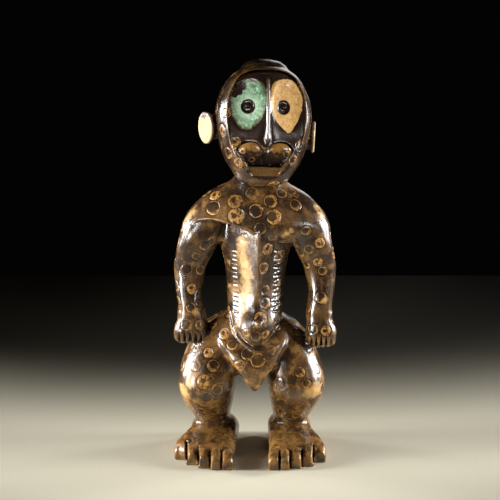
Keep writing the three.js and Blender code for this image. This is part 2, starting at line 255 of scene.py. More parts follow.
def distances(skin):
    """The distances from a skin, negative inside, and the slices of the lattice that they fill."""
    points, triangles = skin
    level_set = openvdb.FloatGrid.createLevelSetFromPolygons(
        (points - LATTICE_LOW).astype(np.float32),
        triangles=triangles.astype(np.uint32),
        transform=openvdb.createLinearTransform(voxelSize=VOXEL),
        halfWidth=REACH / VOXEL,
    )
    low, high = level_set.evalActiveVoxelBoundingBox()
    low = np.maximum(low, 0)
    high = np.minimum(high, np.array(LATTICE_SHAPE) - 1)
    values = np.empty(high - low + 1, np.float32)
    level_set.copyToArray(values, ijk=tuple(int(i) for i in low))
    return values, tuple(slice(int(a), int(b) + 1) for a, b in zip(low, high))


class Carving:
    """The distances from one solid's surface at the points of the lattice, negative inside."""

    def __init__(self):
        self.values = np.full(LATTICE_SHAPE, REACH, np.float32)

    def join(self, skin, blend=0.1):
        values, place = distances(skin)
        was = self.values[place]
        gap = np.maximum(blend - np.abs(was - values), 0)
        self.values[place] = np.minimum(was, values) - gap * gap / (4 * blend)

    def cut_values(self, values, place, blend):
        was = self.values[place]
        gap = np.maximum(blend - np.abs(was + values), 0)
        self.values[place] = np.maximum(was, -values) + gap * gap / (4 * blend)

    def cut(self, skin, blend=0.1):
        self.cut_values(*distances(skin), blend)

    def corners(self, place):
        """The coordinates of the lattice's points in some slices, in millimetres."""
        axes = [
            low + VOXEL * np.arange(s.start, s.stop, dtype=np.float32)
            for low, s in zip(LATTICE_LOW, place)
        ]
        return np.stack(np.meshgrid(*axes, indexing="ij"), -1)

    def skin(self):
        """(points, quads) of the surface, flat on the ground."""
        grid = openvdb.FloatGrid(REACH)
        grid.transform = openvdb.createLinearTransform(voxelSize=VOXEL)
        grid.copyFromArray(self.values)
        points, quads = grid.convertToQuads(0)
        return points.astype(float) + LATTICE_LOW, quads.astype(int)


def sampled(carving, points):
    """The distances at any points, in between those of the lattice."""
    place = (points - LATTICE_LOW) / VOXEL
    place = np.clip(place, 0, np.array(LATTICE_SHAPE) - 1.001)
    cell = place.astype(int)
    share = (place - cell).astype(np.float32)
    total = np.zeros(len(points), np.float32)
    for corner in np.ndindex(2, 2, 2):
        weight = np.prod(np.where(corner, share, 1 - share), axis=1)
        i, j, k = (cell + corner).T
        total += weight * carving[i, j, k]
    return total


# The camera, as the picture was taken. Lengths are in millimetres and the picture is 500 pixels square.
PICTURE_SIZE = 500
FOCAL_PIXELS = 1602
SENSOR_WIDTH = 36
VIEW_DOWN = math.radians(14)
VIEW_DISTANCE = 1600
LOOK_AT = np.array([-4, 0, 211])
VIEW_FORWARD = np.array([0, math.cos(VIEW_DOWN), -math.sin(VIEW_DOWN)])
VIEW_UP = np.array([0, math.sin(VIEW_DOWN), math.cos(VIEW_DOWN)])
VIEW_RIGHT = np.array([1, 0, 0])
CAMERA_AT = LOOK_AT - VIEW_DISTANCE * VIEW_FORWARD


def seen_at(carving, pixels):
    """Where the lines of sight through some pixels meet the figure."""
    across, down = (np.asarray(pixels, float) - PICTURE_SIZE / 2).T[:, :, None] / FOCAL_PIXELS
    rays = VIEW_FORWARD + across * VIEW_RIGHT - down * VIEW_UP
    steps = np.arange(VIEW_DISTANCE - 150, VIEW_DISTANCE + 150, 0.5)
    points = CAMERA_AT + rays[:, None, :] * steps[None, :, None]
    inside = sampled(carving, points.reshape(-1, 3)).reshape(points.shape[:2]) < 0
    first = np.argmax(inside, axis=1)
    return points[np.arange(len(points)), first]


# Head. It is modelled about its own centre, then turned and tipped a little on the neck.

HEAD_PLACE = turned(at=(HEAD_MIDDLE, 0, HEAD_CENTRE), turn=6, tip=2.5)

FACE_FRONT = -39.5
FLAT_TURN = 20
FLAT_PITCH = -13
FLAT_BOTTOM = -24
EYE_ACROSS = 19.5
EYE_UP = 27
EYE_RADII = (17.5, 3.6, 24.5)
PUPIL_ACROSS = {VIEWERS_LEFT: 20, VIEWERS_RIGHT: 17.2}
PUPIL_UP = 25.5
PUPIL_RADIUS = 7.3
PUPIL_SUNK = 2.8
BEAD_RADIUS = 2.6

SKULL = even(
    [
        (-53, 18, -30, 14),
        (-49, 24.5, -37, 20),
        (-42, 29.8, -41, 26),
        (-33, 35.8, -43.5, 32),
        (-20, 41.4, -44.5, 37),
        (-5, 44.8, -44, 41),
        (12, 47, -41.5, 43),
        (26, 45, -38, 42),
        (38, 40, -34, 39),
        (47, 34.5, -31, 33),
        (54, 27, -28.5, 26),
        (59, 17, -26, 18),
        (61, 8, -22, 10),
    ]
)

TOP_KNOT = even(
    [
        (54, 23.5, -14, 32),
        (58, 22, -13, 31),
        (61.5, 18, -9, 27),
        (64, 13, -4, 22),
        (65, 7, 2, 16),
    ]
)

NOSE = even(
    [
        (52, 1.4, -30, -20),
        (40, 1.7, -35.5, -20),
        (20, 2.1, -40.6, -20),
        (2, 3, -44.5, -20),
        (-5, 4.2, -46, -20),
        (-9, 3.2, -44.5, -20),
    ]
)

JAW_MIDDLE = -1.5
JAW_TOP = -14
JAW_BOTTOM = -32
JAW_TOP_HALF = 29
JAW_BOTTOM_HALF = 16.5
JAW_FRONT = -46.5
MOUTH_BACK = -36
ARCH_ACROSS = 14.5
ARCH_HALF = 12.5
ARCH_FOOT = -15.5
ARCH_RISE = 8.5
CLEAR_OF_FACE = -60

# Half of the face's outline, from the brow down to the chin: half width and height. A fine rim follows
# it, and the face lies a little lower than the rim, most of all under the brow.
FACE_OUTLINE = (
    (0, 60), (12, 59), (21, 56), (28, 50.5), (33, 42), (37, 30), (38, 20), (37, 8), (35.5, -4), (31.5, -17),
    (27.5, -25), (21, -34), (12, -41.5), (0, -45),
)  # fmt: skip
FACE_MIDDLE_UP = 10
FACE_INSET = 1.3
BROW_INSET = 1.3
RIM_RISE = 0.8
RIM_HALF_WIDTH = 1.0

EARS = (
    {"side": VIEWERS_LEFT, "turn": 55, "at": (-55.5, 0, -2), "lean": 6},
    {"side": VIEWERS_RIGHT, "turn": 81, "at": (50.5, 2, -9), "lean": 9},
)
EAR_HALF_WIDTH = 11
EAR_HALF_HEIGHT = 15.6


def on_flat(side, across, up, proud=0):
    """The matrix of a place on one of the face's two flats."""
    slope = math.tan(math.radians(FLAT_TURN))
    rise = math.tan(math.radians(-FLAT_PITCH))
    depth = FACE_FRONT + slope * across + rise * (up - EYE_UP) - proud
    return HEAD_PLACE @ turned(at=(side * across, depth, up), turn=side * FLAT_TURN, pitch=FLAT_PITCH)


def ear_place(ear):
    return HEAD_PLACE @ turned(at=ear["at"], turn=ear["side"] * ear["turn"], tip=ear["side"] * ear["lean"])


def inside_out(matrix, points):
    """The points in a place's own coordinates."""
    return (points - matrix[:3, 3]) @ matrix[:3, :3]


def cut_flats(carving):
    """Cuts away what lies in front of the face's two flats and above the jaw."""
    low = np.floor((np.array([-60, -70, HEAD_CENTRE - 40]) - LATTICE_LOW) / VOXEL).astype(int)
    high = np.ceil((np.array([78, 20, HEIGHT + 6]) - LATTICE_LOW) / VOXEL).astype(int)
    place = tuple(slice(max(int(a), 0), int(b)) for a, b in zip(low, high))
    points = carving.corners(place)
    x, _, z = np.moveaxis(inside_out(HEAD_PLACE, points), -1, 0)
    fronts = []
    for side in SIDES:
        behind = inside_out(on_flat(side, 0, EYE_UP), points)[..., 1]
        fronts.append(np.maximum.reduce((behind, -side * x, FLAT_BOTTOM - z)))
    carving.cut_values(np.minimum(*fronts).astype(np.float32), place, blend=1.2)


def from_face(points):
    """How far each point is outside the face's outline, seen from in front; negative inside it."""
    x, _, z = np.moveaxis(inside_out(HEAD_PLACE, points), -1, 0)
    outline = np.array(FACE_OUTLINE) - (0, FACE_MIDDLE_UP)
    angles = np.arctan2(outline[:, 0], outline[:, 1])
    reach = np.interp(np.arctan2(np.abs(x), z - FACE_MIDDLE_UP), angles, np.hypot(*outline.T))
    return np.hypot(x, z - FACE_MIDDLE_UP) - reach


def on_face(points):
    """True on the front of the head, inside the face's outline."""
    return (from_face(points) < 1) & (inside_out(HEAD_PLACE, points)[..., 1] < 0)


def smooth(values, start, end):
    """0 up to one value and 1 from another, with a smooth change between."""
    share = np.clip((values - start) / (end - start), 0, 1)
    return share * share * (3 - 2 * share)


def lower_face(carving):
    """Lowers the face inside its outline, and raises the fine rim round it."""
    low = np.floor((np.array([-60, -70, HEAD_CENTRE - 52]) - LATTICE_LOW) / VOXEL).astype(int)
    high = np.ceil((np.array([78, 10, HEIGHT + 6]) - LATTICE_LOW) / VOXEL).astype(int)
    place = tuple(slice(int(a), int(b)) for a, b in zip(low, high))
    points = carving.corners(place)
    _, y, z = np.moveaxis(inside_out(HEAD_PLACE, points), -1, 0)
    outside = from_face(points)
    inset = FACE_INSET * smooth(z, -14, -4) + BROW_INSET * smooth(z, 30, 50)
    change = inset * smooth(outside, 0.3, -1.2)
    change -= RIM_RISE * np.exp(-((outside - 0.6) / RIM_HALF_WIDTH) ** 2)
    carving.values[place] += (change * smooth(y, 6, -4)).astype(np.float32)


def jaw_outline(grow):
    top, bottom = JAW_TOP_HALF + grow, JAW_BOTTOM_HALF + grow / 2
    return [
        (JAW_MIDDLE - top, JAW_TOP + grow),
        (JAW_MIDDLE - bottom, JAW_BOTTOM - grow),
        (JAW_MIDDLE + bottom, JAW_BOTTOM - grow),
        (JAW_MIDDLE + top, JAW_TOP + grow),
    ]


def arch(middle, steps=16):
    """An arch's points, from its right foot to its left one."""
    angles = np.linspace(0, math.pi, steps + 1)
    return [(middle + ARCH_HALF * math.cos(a), ARCH_FOOT + ARCH_RISE * math.sin(a)) for a in angles]


def jaw():
    return moved(prism(jaw_outline(2.5), JAW_FRONT, -28), HEAD_PLACE)


def mouth():
    outline = jaw_outline(-1) + arch(JAW_MIDDLE + ARCH_ACROSS) + arch(JAW_MIDDLE - ARCH_ACROSS)
    return moved(prism(outline, CLEAR_OF_FACE, MOUTH_BACK), HEAD_PLACE)


LOBE_RADII = (12.8, 4.4, 10.8)


def lobe_place(side):
    return HEAD_PLACE @ turned(at=(JAW_MIDDLE + side * 13.6, MOUTH_BACK - 1.5, -18.7), pitch=14)


def lobe(side):
    return ball(LOBE_RADII, lobe_place(side))


CHIN_TOP, CHIN_BOTTOM = -34.5, -41
CHIN_HALF = 15


def chin_stripe():
    top, bottom = CHIN_TOP, CHIN_BOTTOM
    outline = [(-17, top), (-12, bottom), (10, bottom), (15, top)]
    return moved(prism(outline, CLEAR_OF_FACE, -40.5), HEAD_PLACE)


def pupil(side):
    depths = ((-6, 1.0), (5, 0.75))
    rows = [(y, -r * PUPIL_RADIUS, r * PUPIL_RADIUS, -r * PUPIL_RADIUS, r * PUPIL_RADIUS) for y, r in depths]
    pit = loft(rows, across=2, deep=2, lying=True)
    return moved(pit, on_flat(side, PUPIL_ACROSS[side], PUPIL_UP, -PUPIL_SUNK))


def ear_disc(ear):
    faces = ((-1.8, 0.9), (-1.2, 0.97), (-0.3, 1.0), (1.2, 0.98))
    rows = [
        (y, -r * EAR_HALF_WIDTH, r * EAR_HALF_WIDTH, -r * EAR_HALF_HEIGHT, r * EAR_HALF_HEIGHT)
        for y, r in faces
    ]
    return moved(loft(rows, across=2, deep=2, lying=True, step=0.5), ear_place(ear))


def ear_stalk(ear):
    rows = [(1, -8.5, 8.5, -13, 13), (9, -7.8, 7.8, -12, 12), (17, -7.6, 7.6, -11.7, 11.7)]
    return moved(loft(rows, lying=True), ear_place(ear))


def carve_head(carving):
    carving.join(moved(loft(SKULL, across=2.8, deep=2.6), HEAD_PLACE))
    carving.join(moved(loft(TOP_KNOT), HEAD_PLACE), blend=0.8)
    carving.join(jaw(), blend=1)
    cut_flats(carving)
    for side in SIDES:
        carving.cut(ball(EYE_RADII, on_flat(side, EYE_ACROSS, EYE_UP)), blend=0.8)
    lower_face(carving)
    carving.cut(mouth(), blend=0.3)
    carving.cut(chin_stripe(), blend=1.6)
    carving.join(moved(loft(NOSE, across=2, deep=2), HEAD_PLACE), blend=1.2)
    for side in SIDES:
        carving.join(lobe(side), blend=0.6)
        carving.cut(pupil(side), blend=0.6)
        bead = on_flat(side, PUPIL_ACROSS[side] - 0.8, PUPIL_UP - 1, -PUPIL_SUNK - 4.2)
        carving.join(ball((BEAD_RADIUS, 3, BEAD_RADIUS), bead), blend=0.6)
    for ear in EARS:
        carving.join(ear_stalk(ear), blend=3)
        carving.join(ear_disc(ear), blend=1)


# Torso, shoulders and arms

TORSO = [
    (252, -37, 36, -33, 23, 1.2, 1.6),
    (236, -37, 36, -36, 24, 1.15, 1.5),
    (ARMPIT, -36.5, 36, -36, 23, 1.15, 1.4),
    (206, -32.5, 32.5, -35.5, 21, 1.15, 1.4),
    (190, -30, 29, -34.5, 19, 1.15, 1.4),
    (170, -29, 28, -34, 18, 1.2, 1.5),
    (157, -28.5, 27.5, -35, 19, 1.5, 1.8),
    (NAVEL, -28, 25.5, -38, 22, 1.9, 2),
    (136, -25, 21.5, -39.5, 25, 2.2, 2.2),
    (127, -16, 14, -38, 25, ROUND, ROUND),
    (120, -6, 6, -34, 22, ROUND, ROUND),
]

SHOULDERS = even(
    [
        (NECK, 22, -14, 18),
        (278, 32, -20, 21),
        (272, 44, -25, 23),
        (266, 53, -29, 25),
        (259, 60, -32, 26),
        (252, 66.5, -34, 26),
        (246, 70, -35.5, 25.5),
        (LEDGE, 72.5, -35.5, 24),
        (232, 74, -32, 20),
        (224, 73, -25, 14),
    ]
)

# On the viewer's left the chest is cut back under the ledge.
UNDER_LEDGE = [
    (-90, 215), (4, 215), (4, 234), (-6, 240), (-22, 245), (-41, 249), (-55, 247.5), (-64, 243), (-90, 232),
]  # fmt: skip
UNDER_LEDGE_BACK = -17

NECK_SECTIONS = even([(NECK - 22, 26, -16, 22), (NECK - 6, 24, -15, 20), (NECK + 8, 23, -14, 18)])

ARM = [
    (256, 20, 56, -24, 18),
    (246, 26, 67, -25, 17),
    (233, 31, 73, -26, 17),
    (ARMPIT, 36, 76.5, -24, 17),
    (208, 42, 79, -20, 17),
    (ELBOW, 48, 81, -17, 17),
    (184, 51, 80.5, -17.5, 15),
    (170, 53, 79, -19.5, 11),
    (158, 52.5, 77, -21.5, 7),
    (WRIST, 51, 77, -21.5, 6),
    (144, 51.5, 76, -20, 4),
]

# A keel runs down the front of the torso: a wedge that rises slowly from the viewer's left to a sharp
# edge and drops steeply on the right, with fine ticks cut across it.
KEEL_TOP = LEDGE - 1
KEEL_FOOT = 158
KEEL_EDGE = 4.2
KEEL_LEFT = 12
KEEL_RIGHT = 2.4
KEEL_RISE = 2.6
KEEL_BACK = -24
KEEL_TICKS = range(172, 234, 4)

# The edge of the ledge: places across and up.
LEDGE_EDGE = ((3, 236), (-6, 241), (-22, 246), (-41, 250), (-53, 248.8))
LEDGE_EDGE_RADIUS = 1

# The rim that edges the belly, from the hip on the viewer's left round to the right, as pixels of the
# picture, across and down.
BELLY_RIM = (
    (230, 309), (230.5, 318), (233, 327), (237, 335.5), (243, 343), (250, 349), (258, 352.5), (266, 352.5),
    (274, 349), (280, 343),
)  # fmt: skip
BELLY_RIM_RADIUS = 1.7

# How much lower each hand hangs, and how much narrower it is.
HANDS = {VIEWERS_LEFT: {"drop": 0, "inner": 48}, VIEWERS_RIGHT: {"drop": 4, "inner": 51.5}}
HAND_OUTER = 81
FINGER_GROOVES = 5

# The carver's scars: a ladder of notches down each side of the belly.
SCAR_ROWS = 15
SCAR_TOP = 216
SCAR_PITCH = 4.4
SCAR_REACH = {VIEWERS_LEFT: 2.6, VIEWERS_RIGHT: 4}
SCAR_DEPTH = 1.2
SCAR_OPENING = 8


def torso_front(height, across):
    """How far forward the torso reaches at a height and a place across."""
    below = next(i for i, row in enumerate(TORSO) if row[0] <= height)
    upper, lower = TORSO[below - 1], TORSO[below]
    t = (upper[0] - height) / (upper[0] - lower[0])
    row = [a + (b - a) * t for a, b in zip(upper, lower)]
    _, left, right, near, far, across_power, deep_power = row
    bulge = abs((across - TORSO_MIDDLE - (left + right) / 2) / ((right - left) / 2))
    return (near + far) / 2 - (far - near) / 2 * (1 - bulge**across_power) ** (1 / deep_power)


def keel():
    rows = []
    for height in np.linspace(KEEL_FOOT, KEEL_TOP, 40):
        rise = KEEL_RISE * min(1, (height - KEEL_FOOT) / 20)
        left, right = KEEL_EDGE - KEEL_LEFT, KEEL_EDGE + KEEL_RIGHT
        section = (
            (left, torso_front(height, left)),
            (KEEL_EDGE, torso_front(height, KEEL_EDGE) - rise),
            (right, torso_front(height, right)),
            (KEEL_EDGE, KEEL_BACK),
        )
        rows.append([(x, y, height) for x, y in section])
    return ring_skin(rows)


def fronts(carving, places):
    """Where level lines from in front meet the figure, for places across and up."""
    depths = np.arange(CLEAR_OF_FACE, 0, 0.5)
    points = np.array([[(x, y, z) for y in depths] for x, z in places])
    inside = sampled(carving, points.reshape(-1, 3)).reshape(points.shape[:2]) < 0
    return points[np.arange(len(points)), np.argmax(inside, axis=1)]


def scars(side):
    """The notches, level on the viewer's left and in a zigzag on the right."""
    for row in range(SCAR_ROWS):
        height = SCAR_TOP - row * SCAR_PITCH
        middle = TORSO_MIDDLE + side * (21 - row * 0.12)
        slant = 0 if side == VIEWERS_LEFT else (1.1 if row % 2 else -1.1)
        ends = []
        for end in (-1, 1):
            across = middle + end * SCAR_REACH[side]
            up = height + end * slant
            ends.append((across, torso_front(up, across) + SCAR_DEPTH, up))
        yield groove(*ends, SCAR_OPENING)


def palm(side):
    drop, inner = HANDS[side]["drop"], HANDS[side]["inner"]
    rows = [
        (WRIST + 1, inner + 2, HAND_OUTER - 4, -20.5, 5),
        (142, inner + 0.5, HAND_OUTER - 3, -23, 4),
        (134, inner, HAND_OUTER, -24.5, 3),
        (128 - drop, inner - 0.5, HAND_OUTER + 0.5, -24, 1),
        (122 - drop, inner, HAND_OUTER - 1, -22, -2),
        (119 - drop, inner + 2, HAND_OUTER - 5, -19, -6),
    ]
    return loft(paired(rows, side), middle=ARMS_MIDDLE, across=3, deep=3, step=1)


def finger_grooves(side):
    drop, inner = HANDS[side]["drop"], HANDS[side]["inner"]
    for finger in range(1, FINGER_GROOVES + 1):
        share = finger / (FINGER_GROOVES + 1)
        across = ARMS_MIDDLE + side * (inner + (HAND_OUTER - inner) * share)
        yield groove((across, -23.5, 134 - drop), (across, -9, 110 - drop), 3)


NAVEL_RADII = (5.2, 6.4, 5.2)
NAVEL_AT = (4.3, -38, NAVEL)


def carve_upper_body(carving):
    carving.join(loft(SHOULDERS, middle=SHOULDERS_MIDDLE, across=2.5, deep=2.2))
    carving.cut(prism(UNDER_LEDGE, CLEAR_OF_FACE, UNDER_LEDGE_BACK), blend=0.4)
    for side in SIDES:
        carving.join(palm(side))
        for cutter in finger_grooves(side):
            carving.cut(cutter, blend=0.6)
    carving.join(loft(TORSO, middle=TORSO_MIDDLE, sides=144), blend=2.5)
    carving.join(keel(), blend=0.2)
    for height in KEEL_TICKS:
        tick = ((KEEL_EDGE + 0.5, -36.2, height), (KEEL_EDGE + 4, -33.5, height - 1))
        carving.cut(groove(*tick, 4), blend=0.3)
    for side in SIDES:
        for cutter in scars(side):
            carving.cut(cutter, blend=0.3)
    carving.join(ball(NAVEL_RADII, turned(at=NAVEL_AT)), blend=0.5)
    for side in SIDES:
        carving.join(loft(paired(ARM, side), middle=ARMS_MIDDLE, across=2.8, deep=2.6), blend=3)
    carving.join(tube(fronts(carving.values, LEDGE_EDGE), LEDGE_EDGE_RADIUS), blend=0.6)
    carving.join(loft(NECK_SECTIONS, middle=NECK_MIDDLE), blend=8)


# Hips, apron, legs and feet

HIPS = even(
    [
        (151, 18, -14, 16),
        (147, 26, -19, 23),
        (142, 35, -24, 31),
        (136, 43, -27, 35),
        (127, 53, -28.5, 38),
        (115, 61, -30, 38),
        (102, 64, -30, 36),
        (92, 58, -27, 31),
        (CROTCH, 48, -20, 22),
    ]
)

APRON = [
    (143, -16, 15, -20, -8),
    (137, -26, 24, -22, -10),
    (129, -34, 31, -28, -10),
    (123, -34.5, 31.5, -34.5, -10),
    (117, -31, 28.5, -39.5, -10),
    (107, -25.5, 23.5, -44, -10),
    (97, -18.5, 17.5, -44.5, -11),
    (88, -11.5, 11, -43.5, -14),
    (80, -6, 6, -41, -20),
    (75, -2.5, 2.5, -37, -25),
]
APRON_MIDDLE = 0.5

LEG = [
    (130, 16, 48, -18, 34),
    (119, 13, 58.5, -26, 39),
    (107, 12, 66, -31, 37),
    (95, 13, 70.5, -34.5, 32),
    (84, 15, 73, -36.5, 29),
    (KNEE, 16.5, 74, -36.5, 29),
    (61, 18, 72, -32, 31),
    (52, 19, 68.5, -26, 34),
    (41, 21, 62.5, -15.5, 36),
    (ANKLE, 22.5, 58, -4, 37),
    (22, 20, 60, 0, 40),
]

# Each foot's toes end on the curve of the log, the big toe foremost.
FEET = {
    VIEWERS_LEFT: {
        "toe_tips": (-60, -59.5, -55, -46, -31),
        "toe_middles": (23.5, 34.5, 46.5, 58.5, 70.5),
        "body": [
            (46, 19, 36, -3, 10),
            (43, 13.5, 42, -3, 18),
            (36, 12, 49, -3, 25),
            (22, 13, 56, -3, 31),
            (8, 14, 61, -3, 32),
            (-6, 14.5, 68, -3, 29),
            (-18, 15, 75, -3, 25),
            (-28, 16, 74, -3, 21),
            (-37, 17, 66, -3, 18),
            (-44, 19, 52, -3, 14),
        ],
    },
    VIEWERS_RIGHT: {
        "toe_tips": (-60, -60, -56, -50, -39),
        "toe_middles": (24, 34, 45.5, 57.5, 69.5),
        "body": [
            (46, 23, 40, -3, 10),
            (43, 19.5, 45, -3, 18),
            (36, 18.5, 52, -3, 25),
            (22, 18.5, 59, -3, 31),
            (8, 18.5, 62, -3, 32),
            (-6, 18.5, 68, -3, 29),
            (-18, 18.5, 74, -3, 25),
            (-28, 18.5, 75, -3, 21),
            (-37, 18.5, 68, -3, 18),
            (-44, 19, 52, -3, 14),
        ],
    },
}


def toe(side, middle, tip):
    rows = [
        (tip + 26, -4, 4, 2, 13),
        (tip + 14, -6.8, 6.8, -3, 17),
        (tip + 4, -6.6, 6.6, -3, 14),
        (tip + 1, -6.2, 6.2, -3, 12.5),
        (tip, -5.7, 5.7, -3, 11.5),
    ]
    return loft(rows, middle=FEET_MIDDLE + side * middle, across=5, deep=5, lying=True, step=0.8)


TOE_GROOVE_REACH = 20
TOE_GROOVE_OPENING = 3.2


def toe_grooves(side):
    """The cutters between the toes, deepest at the top of the foot."""
    tips, middles = FEET[side]["toe_tips"], FEET[side]["toe_middles"]
    for inner in range(len(tips) - 1):
        across = FEET_MIDDLE + side * (middles[inner] + middles[inner + 1]) / 2
        tip = (tips[inner] + tips[inner + 1]) / 2
        top, foot = (across, tip + 15.5, 16), (across, tip + 4, -2)
        yield groove(top, foot, TOE_GROOVE_OPENING, TOE_GROOVE_REACH)


def carve_foot(carving, side):
    foot = FEET[side]
    instep = paired(foot["body"], side)
    carving.join(loft(instep, middle=FEET_MIDDLE, across=2.6, deep=2.6, lying=True), blend=9)
    for tip, middle in zip(foot["toe_tips"], foot["toe_middles"]):
        carving.join(toe(side, middle, tip), blend=0.8)
    for cutter in toe_grooves(side):
        carving.cut(cutter, blend=0.6)


def carve_lower_body(carving):
    carving.join(loft(HIPS, middle=HIPS_MIDDLE), blend=1.5)
    for side in SIDES:
        buttock = turned(at=(HIPS_MIDDLE + side * 25, 25, 113))
        carving.join(ball((28, 22, 25), buttock), blend=5)
        carving.join(loft(paired(LEG, side), middle=LEGS_MIDDLE, across=2.5, deep=2.4), blend=4)
        carve_foot(carving, side)
    carving.join(loft(APRON, middle=APRON_MIDDLE, across=2.4, deep=4), blend=4)
    carving.join(tube(seen_at(carving.values, BELLY_RIM), BELLY_RIM_RADIUS), blend=1.2)


def carved_figure():
    carving = Carving()
    carve_upper_body(carving)
    carve_lower_body(carving)
    carve_head(carving)
    heights = LATTICE_LOW[2] + VOXEL * np.arange(LATTICE_SHAPE[2], dtype=np.float32)
    np.maximum(carving.values, -heights, out=carving.values)
    return carving


# Relief. Every place is found on the lattice, so it follows whatever shape is carved there.


def outward(carving, points, step=1.2):
    """The directions straight out of the surface at some points on it."""
    slopes = [
        sampled(carving, points + step * axis) - sampled(carving, points - step * axis)
        for axis in np.eye(3)
    ]
    slopes = np.stack(slopes, 1)
    return slopes / np.maximum(np.linalg.norm(slopes, axis=1, keepdims=True), 1e-6)


def noise(points, size, seed):
    """Smooth noise from -1 to 1 with lumps of about this size."""
    table = np.random.default_rng(seed).uniform(-1, 1, (32, 32, 32)).astype(np.float32)
    place = points / size
    cell = np.floor(place).astype(int)
    share = place - cell
    share = share * share * (3 - 2 * share)
    total = np.zeros(len(points))
    for corner in np.ndindex(2, 2, 2):
        weight = np.prod(np.where(corner, share, 1 - share), axis=1)
        i, j, k = (cell + corner).T % 32
        total += weight * table[i, j, k]
    return total


def blurred(values, reach):
    """The values averaged over a cube that reaches this many points each way."""
    out = np.clip(values, -4, 4)
    for axis in range(3):
        total = np.cumsum(out, axis=axis, dtype=np.float64)
        ahead = np.roll(total, -reach, axis=axis)
        behind = np.roll(total, reach + 1, axis=axis)
        out = ((ahead - behind) / (2 * reach + 1)).astype(np.float32)
    return out


# Stamped rings that the picture shows: pixels across and down, and radius in millimetres.
RINGS_SEEN = (
    # chest and shoulders
    (215, 195, 6), (235, 201, 7), (252, 194, 6.5), (282, 193, 5), (292, 191, 4.5), (271, 201, 6.5),
    (296, 205, 6), (213, 208, 7), (256, 211, 6.5), (236, 216, 7.5), (274, 217, 7), (260, 229, 6),
    # torso
    (245, 238, 4), (273, 238, 4.5), (268, 249, 5.5), (280, 256, 6), (264, 268, 5.5), (266, 290, 4.5),
    (266, 303, 5.5), (235, 322, 5), (246, 333, 4), (256, 337, 5), (266, 335, 5),
    # apron and hips
    (248, 354, 6.5), (271, 350, 5.5), (239, 366, 5.5), (258, 361, 7), (213, 325, 4.5), (224, 334, 5.5),
    (232, 345, 5), (297, 331, 5),
    # arms and hands
    (205, 246, 5), (212, 241, 4.5), (196, 256, 4), (186, 270, 6), (201, 270, 5), (192, 289, 5),
    (199, 305, 5), (191, 308, 4.5), (306, 231, 5), (309, 250, 5), (320, 243, 5), (300, 253, 4.5),
    (306, 265, 4.5), (318, 262, 4.5), (323, 271, 4.5), (321, 298, 5.5), (308, 308, 4.5),
    (186, 325, 5.5), (200, 325, 5), (313, 329, 5), (326, 331, 5),
    # legs
    (196, 347, 5), (208, 353, 4.5), (213, 366, 6), (204, 382, 7), (218, 389, 6), (207, 398, 6.5),
    (201, 411, 6), (214, 412, 6), (226, 403, 5.5), (195, 366, 5), (309, 347, 4.5), (300, 372, 5),
    (280, 384, 6), (307, 384, 4.5), (306, 407, 5.5), (281, 412, 5), (297, 416, 6), (318, 370, 5),
    # feet
    (190, 441, 5), (227, 437, 5), (281, 437, 5), (306, 433, 5),
    # sides of the head
    (225, 113, 5.5), (222, 130, 5.5), (235, 143, 5.5), (228, 153, 5.5), (238, 163, 5), (300, 146, 5),
    (293, 160, 5),
    # lobes of the mouth
    (243, 151, 3), (252, 160, 3), (287, 154, 3.4),
)  # fmt: skip

RING_SPACING = 16.0
LEAST_RADIUS, MOST_RADIUS = 4.8, 6.6
RING_DEPTH = 0.35
RING_LINE = 0.65


def is_plain(points):
    """True where no ring is stamped: face, top knot, ears, fingers, toes and soles."""
    x, y, z = inside_out(HEAD_PLACE, points).T
    plain = (z > -45) & (y < -16) & (np.abs(x) < 44)
    plain |= z > 52
    for ear in EARS:
        across, depth, up = inside_out(ear_place(ear), points).T
        plain |= (np.hypot(across / EAR_HALF_WIDTH, up / EAR_HALF_HEIGHT) < 1.3) & (np.abs(depth) < 12)
    plain |= (points[:, 2] < 134) & (np.abs(points[:, 0]) > 45) & (points[:, 1] < 6) & (points[:, 2] > 112)
    plain |= points[:, 2] < 12
    return plain


def ring_places(carving, points, normals):
    """The centres and radii of all rings: those in the picture, and others spaced out round the back."""
    random = np.random.default_rng(11)
    seen = np.array(RINGS_SEEN)
    centres = list(seen_at(carving, seen[:, :2]))
    radii = list(seen[:, 2])
    towards_camera = CAMERA_AT - points
    towards_camera /= np.linalg.norm(towards_camera, axis=1, keepdims=True)
    hidden = (normals * towards_camera).sum(1) < 0.3
    free = np.flatnonzero(hidden & ~is_plain(points))
    for i in random.permutation(free)[:9000]:
        if np.min(np.linalg.norm(np.array(centres) - points[i], axis=1)) > RING_SPACING:
            centres.append(points[i])
            radii.append(random.uniform(LEAST_RADIUS, MOST_RADIUS))
    return np.array(centres), np.array(radii)


def nearest_ring(points, centres, radii):
    """For each point, the ring whose line is nearest, and the distance to that ring's centre."""
    chosen, away = [], []
    for some in np.array_split(points.astype(np.float32), max(1, len(points) // 20000)):
        gaps = np.linalg.norm(some[:, None] - centres[None].astype(np.float32), axis=2)
        best = np.argmin(gaps - radii, axis=1)
        chosen.append(best)
        away.append(gaps[np.arange(len(some)), best])
    return np.concatenate(chosen), np.concatenate(away)


def relief(points, ring_gap):
    """How far each point of the skin is raised, in millimetres: the rings and the marks of the blade."""
    rings = -RING_DEPTH * np.exp(-((ring_gap / RING_LINE) ** 2)) * ~on_face(points)
    blade = 0.22 * noise(points * (1, 1, 0.6), 9, 1) + 0.07 * noise(points * (1, 1, 0.5), 3, 2)
    return rings + blade * (points[:, 2] > 2)


# The piece


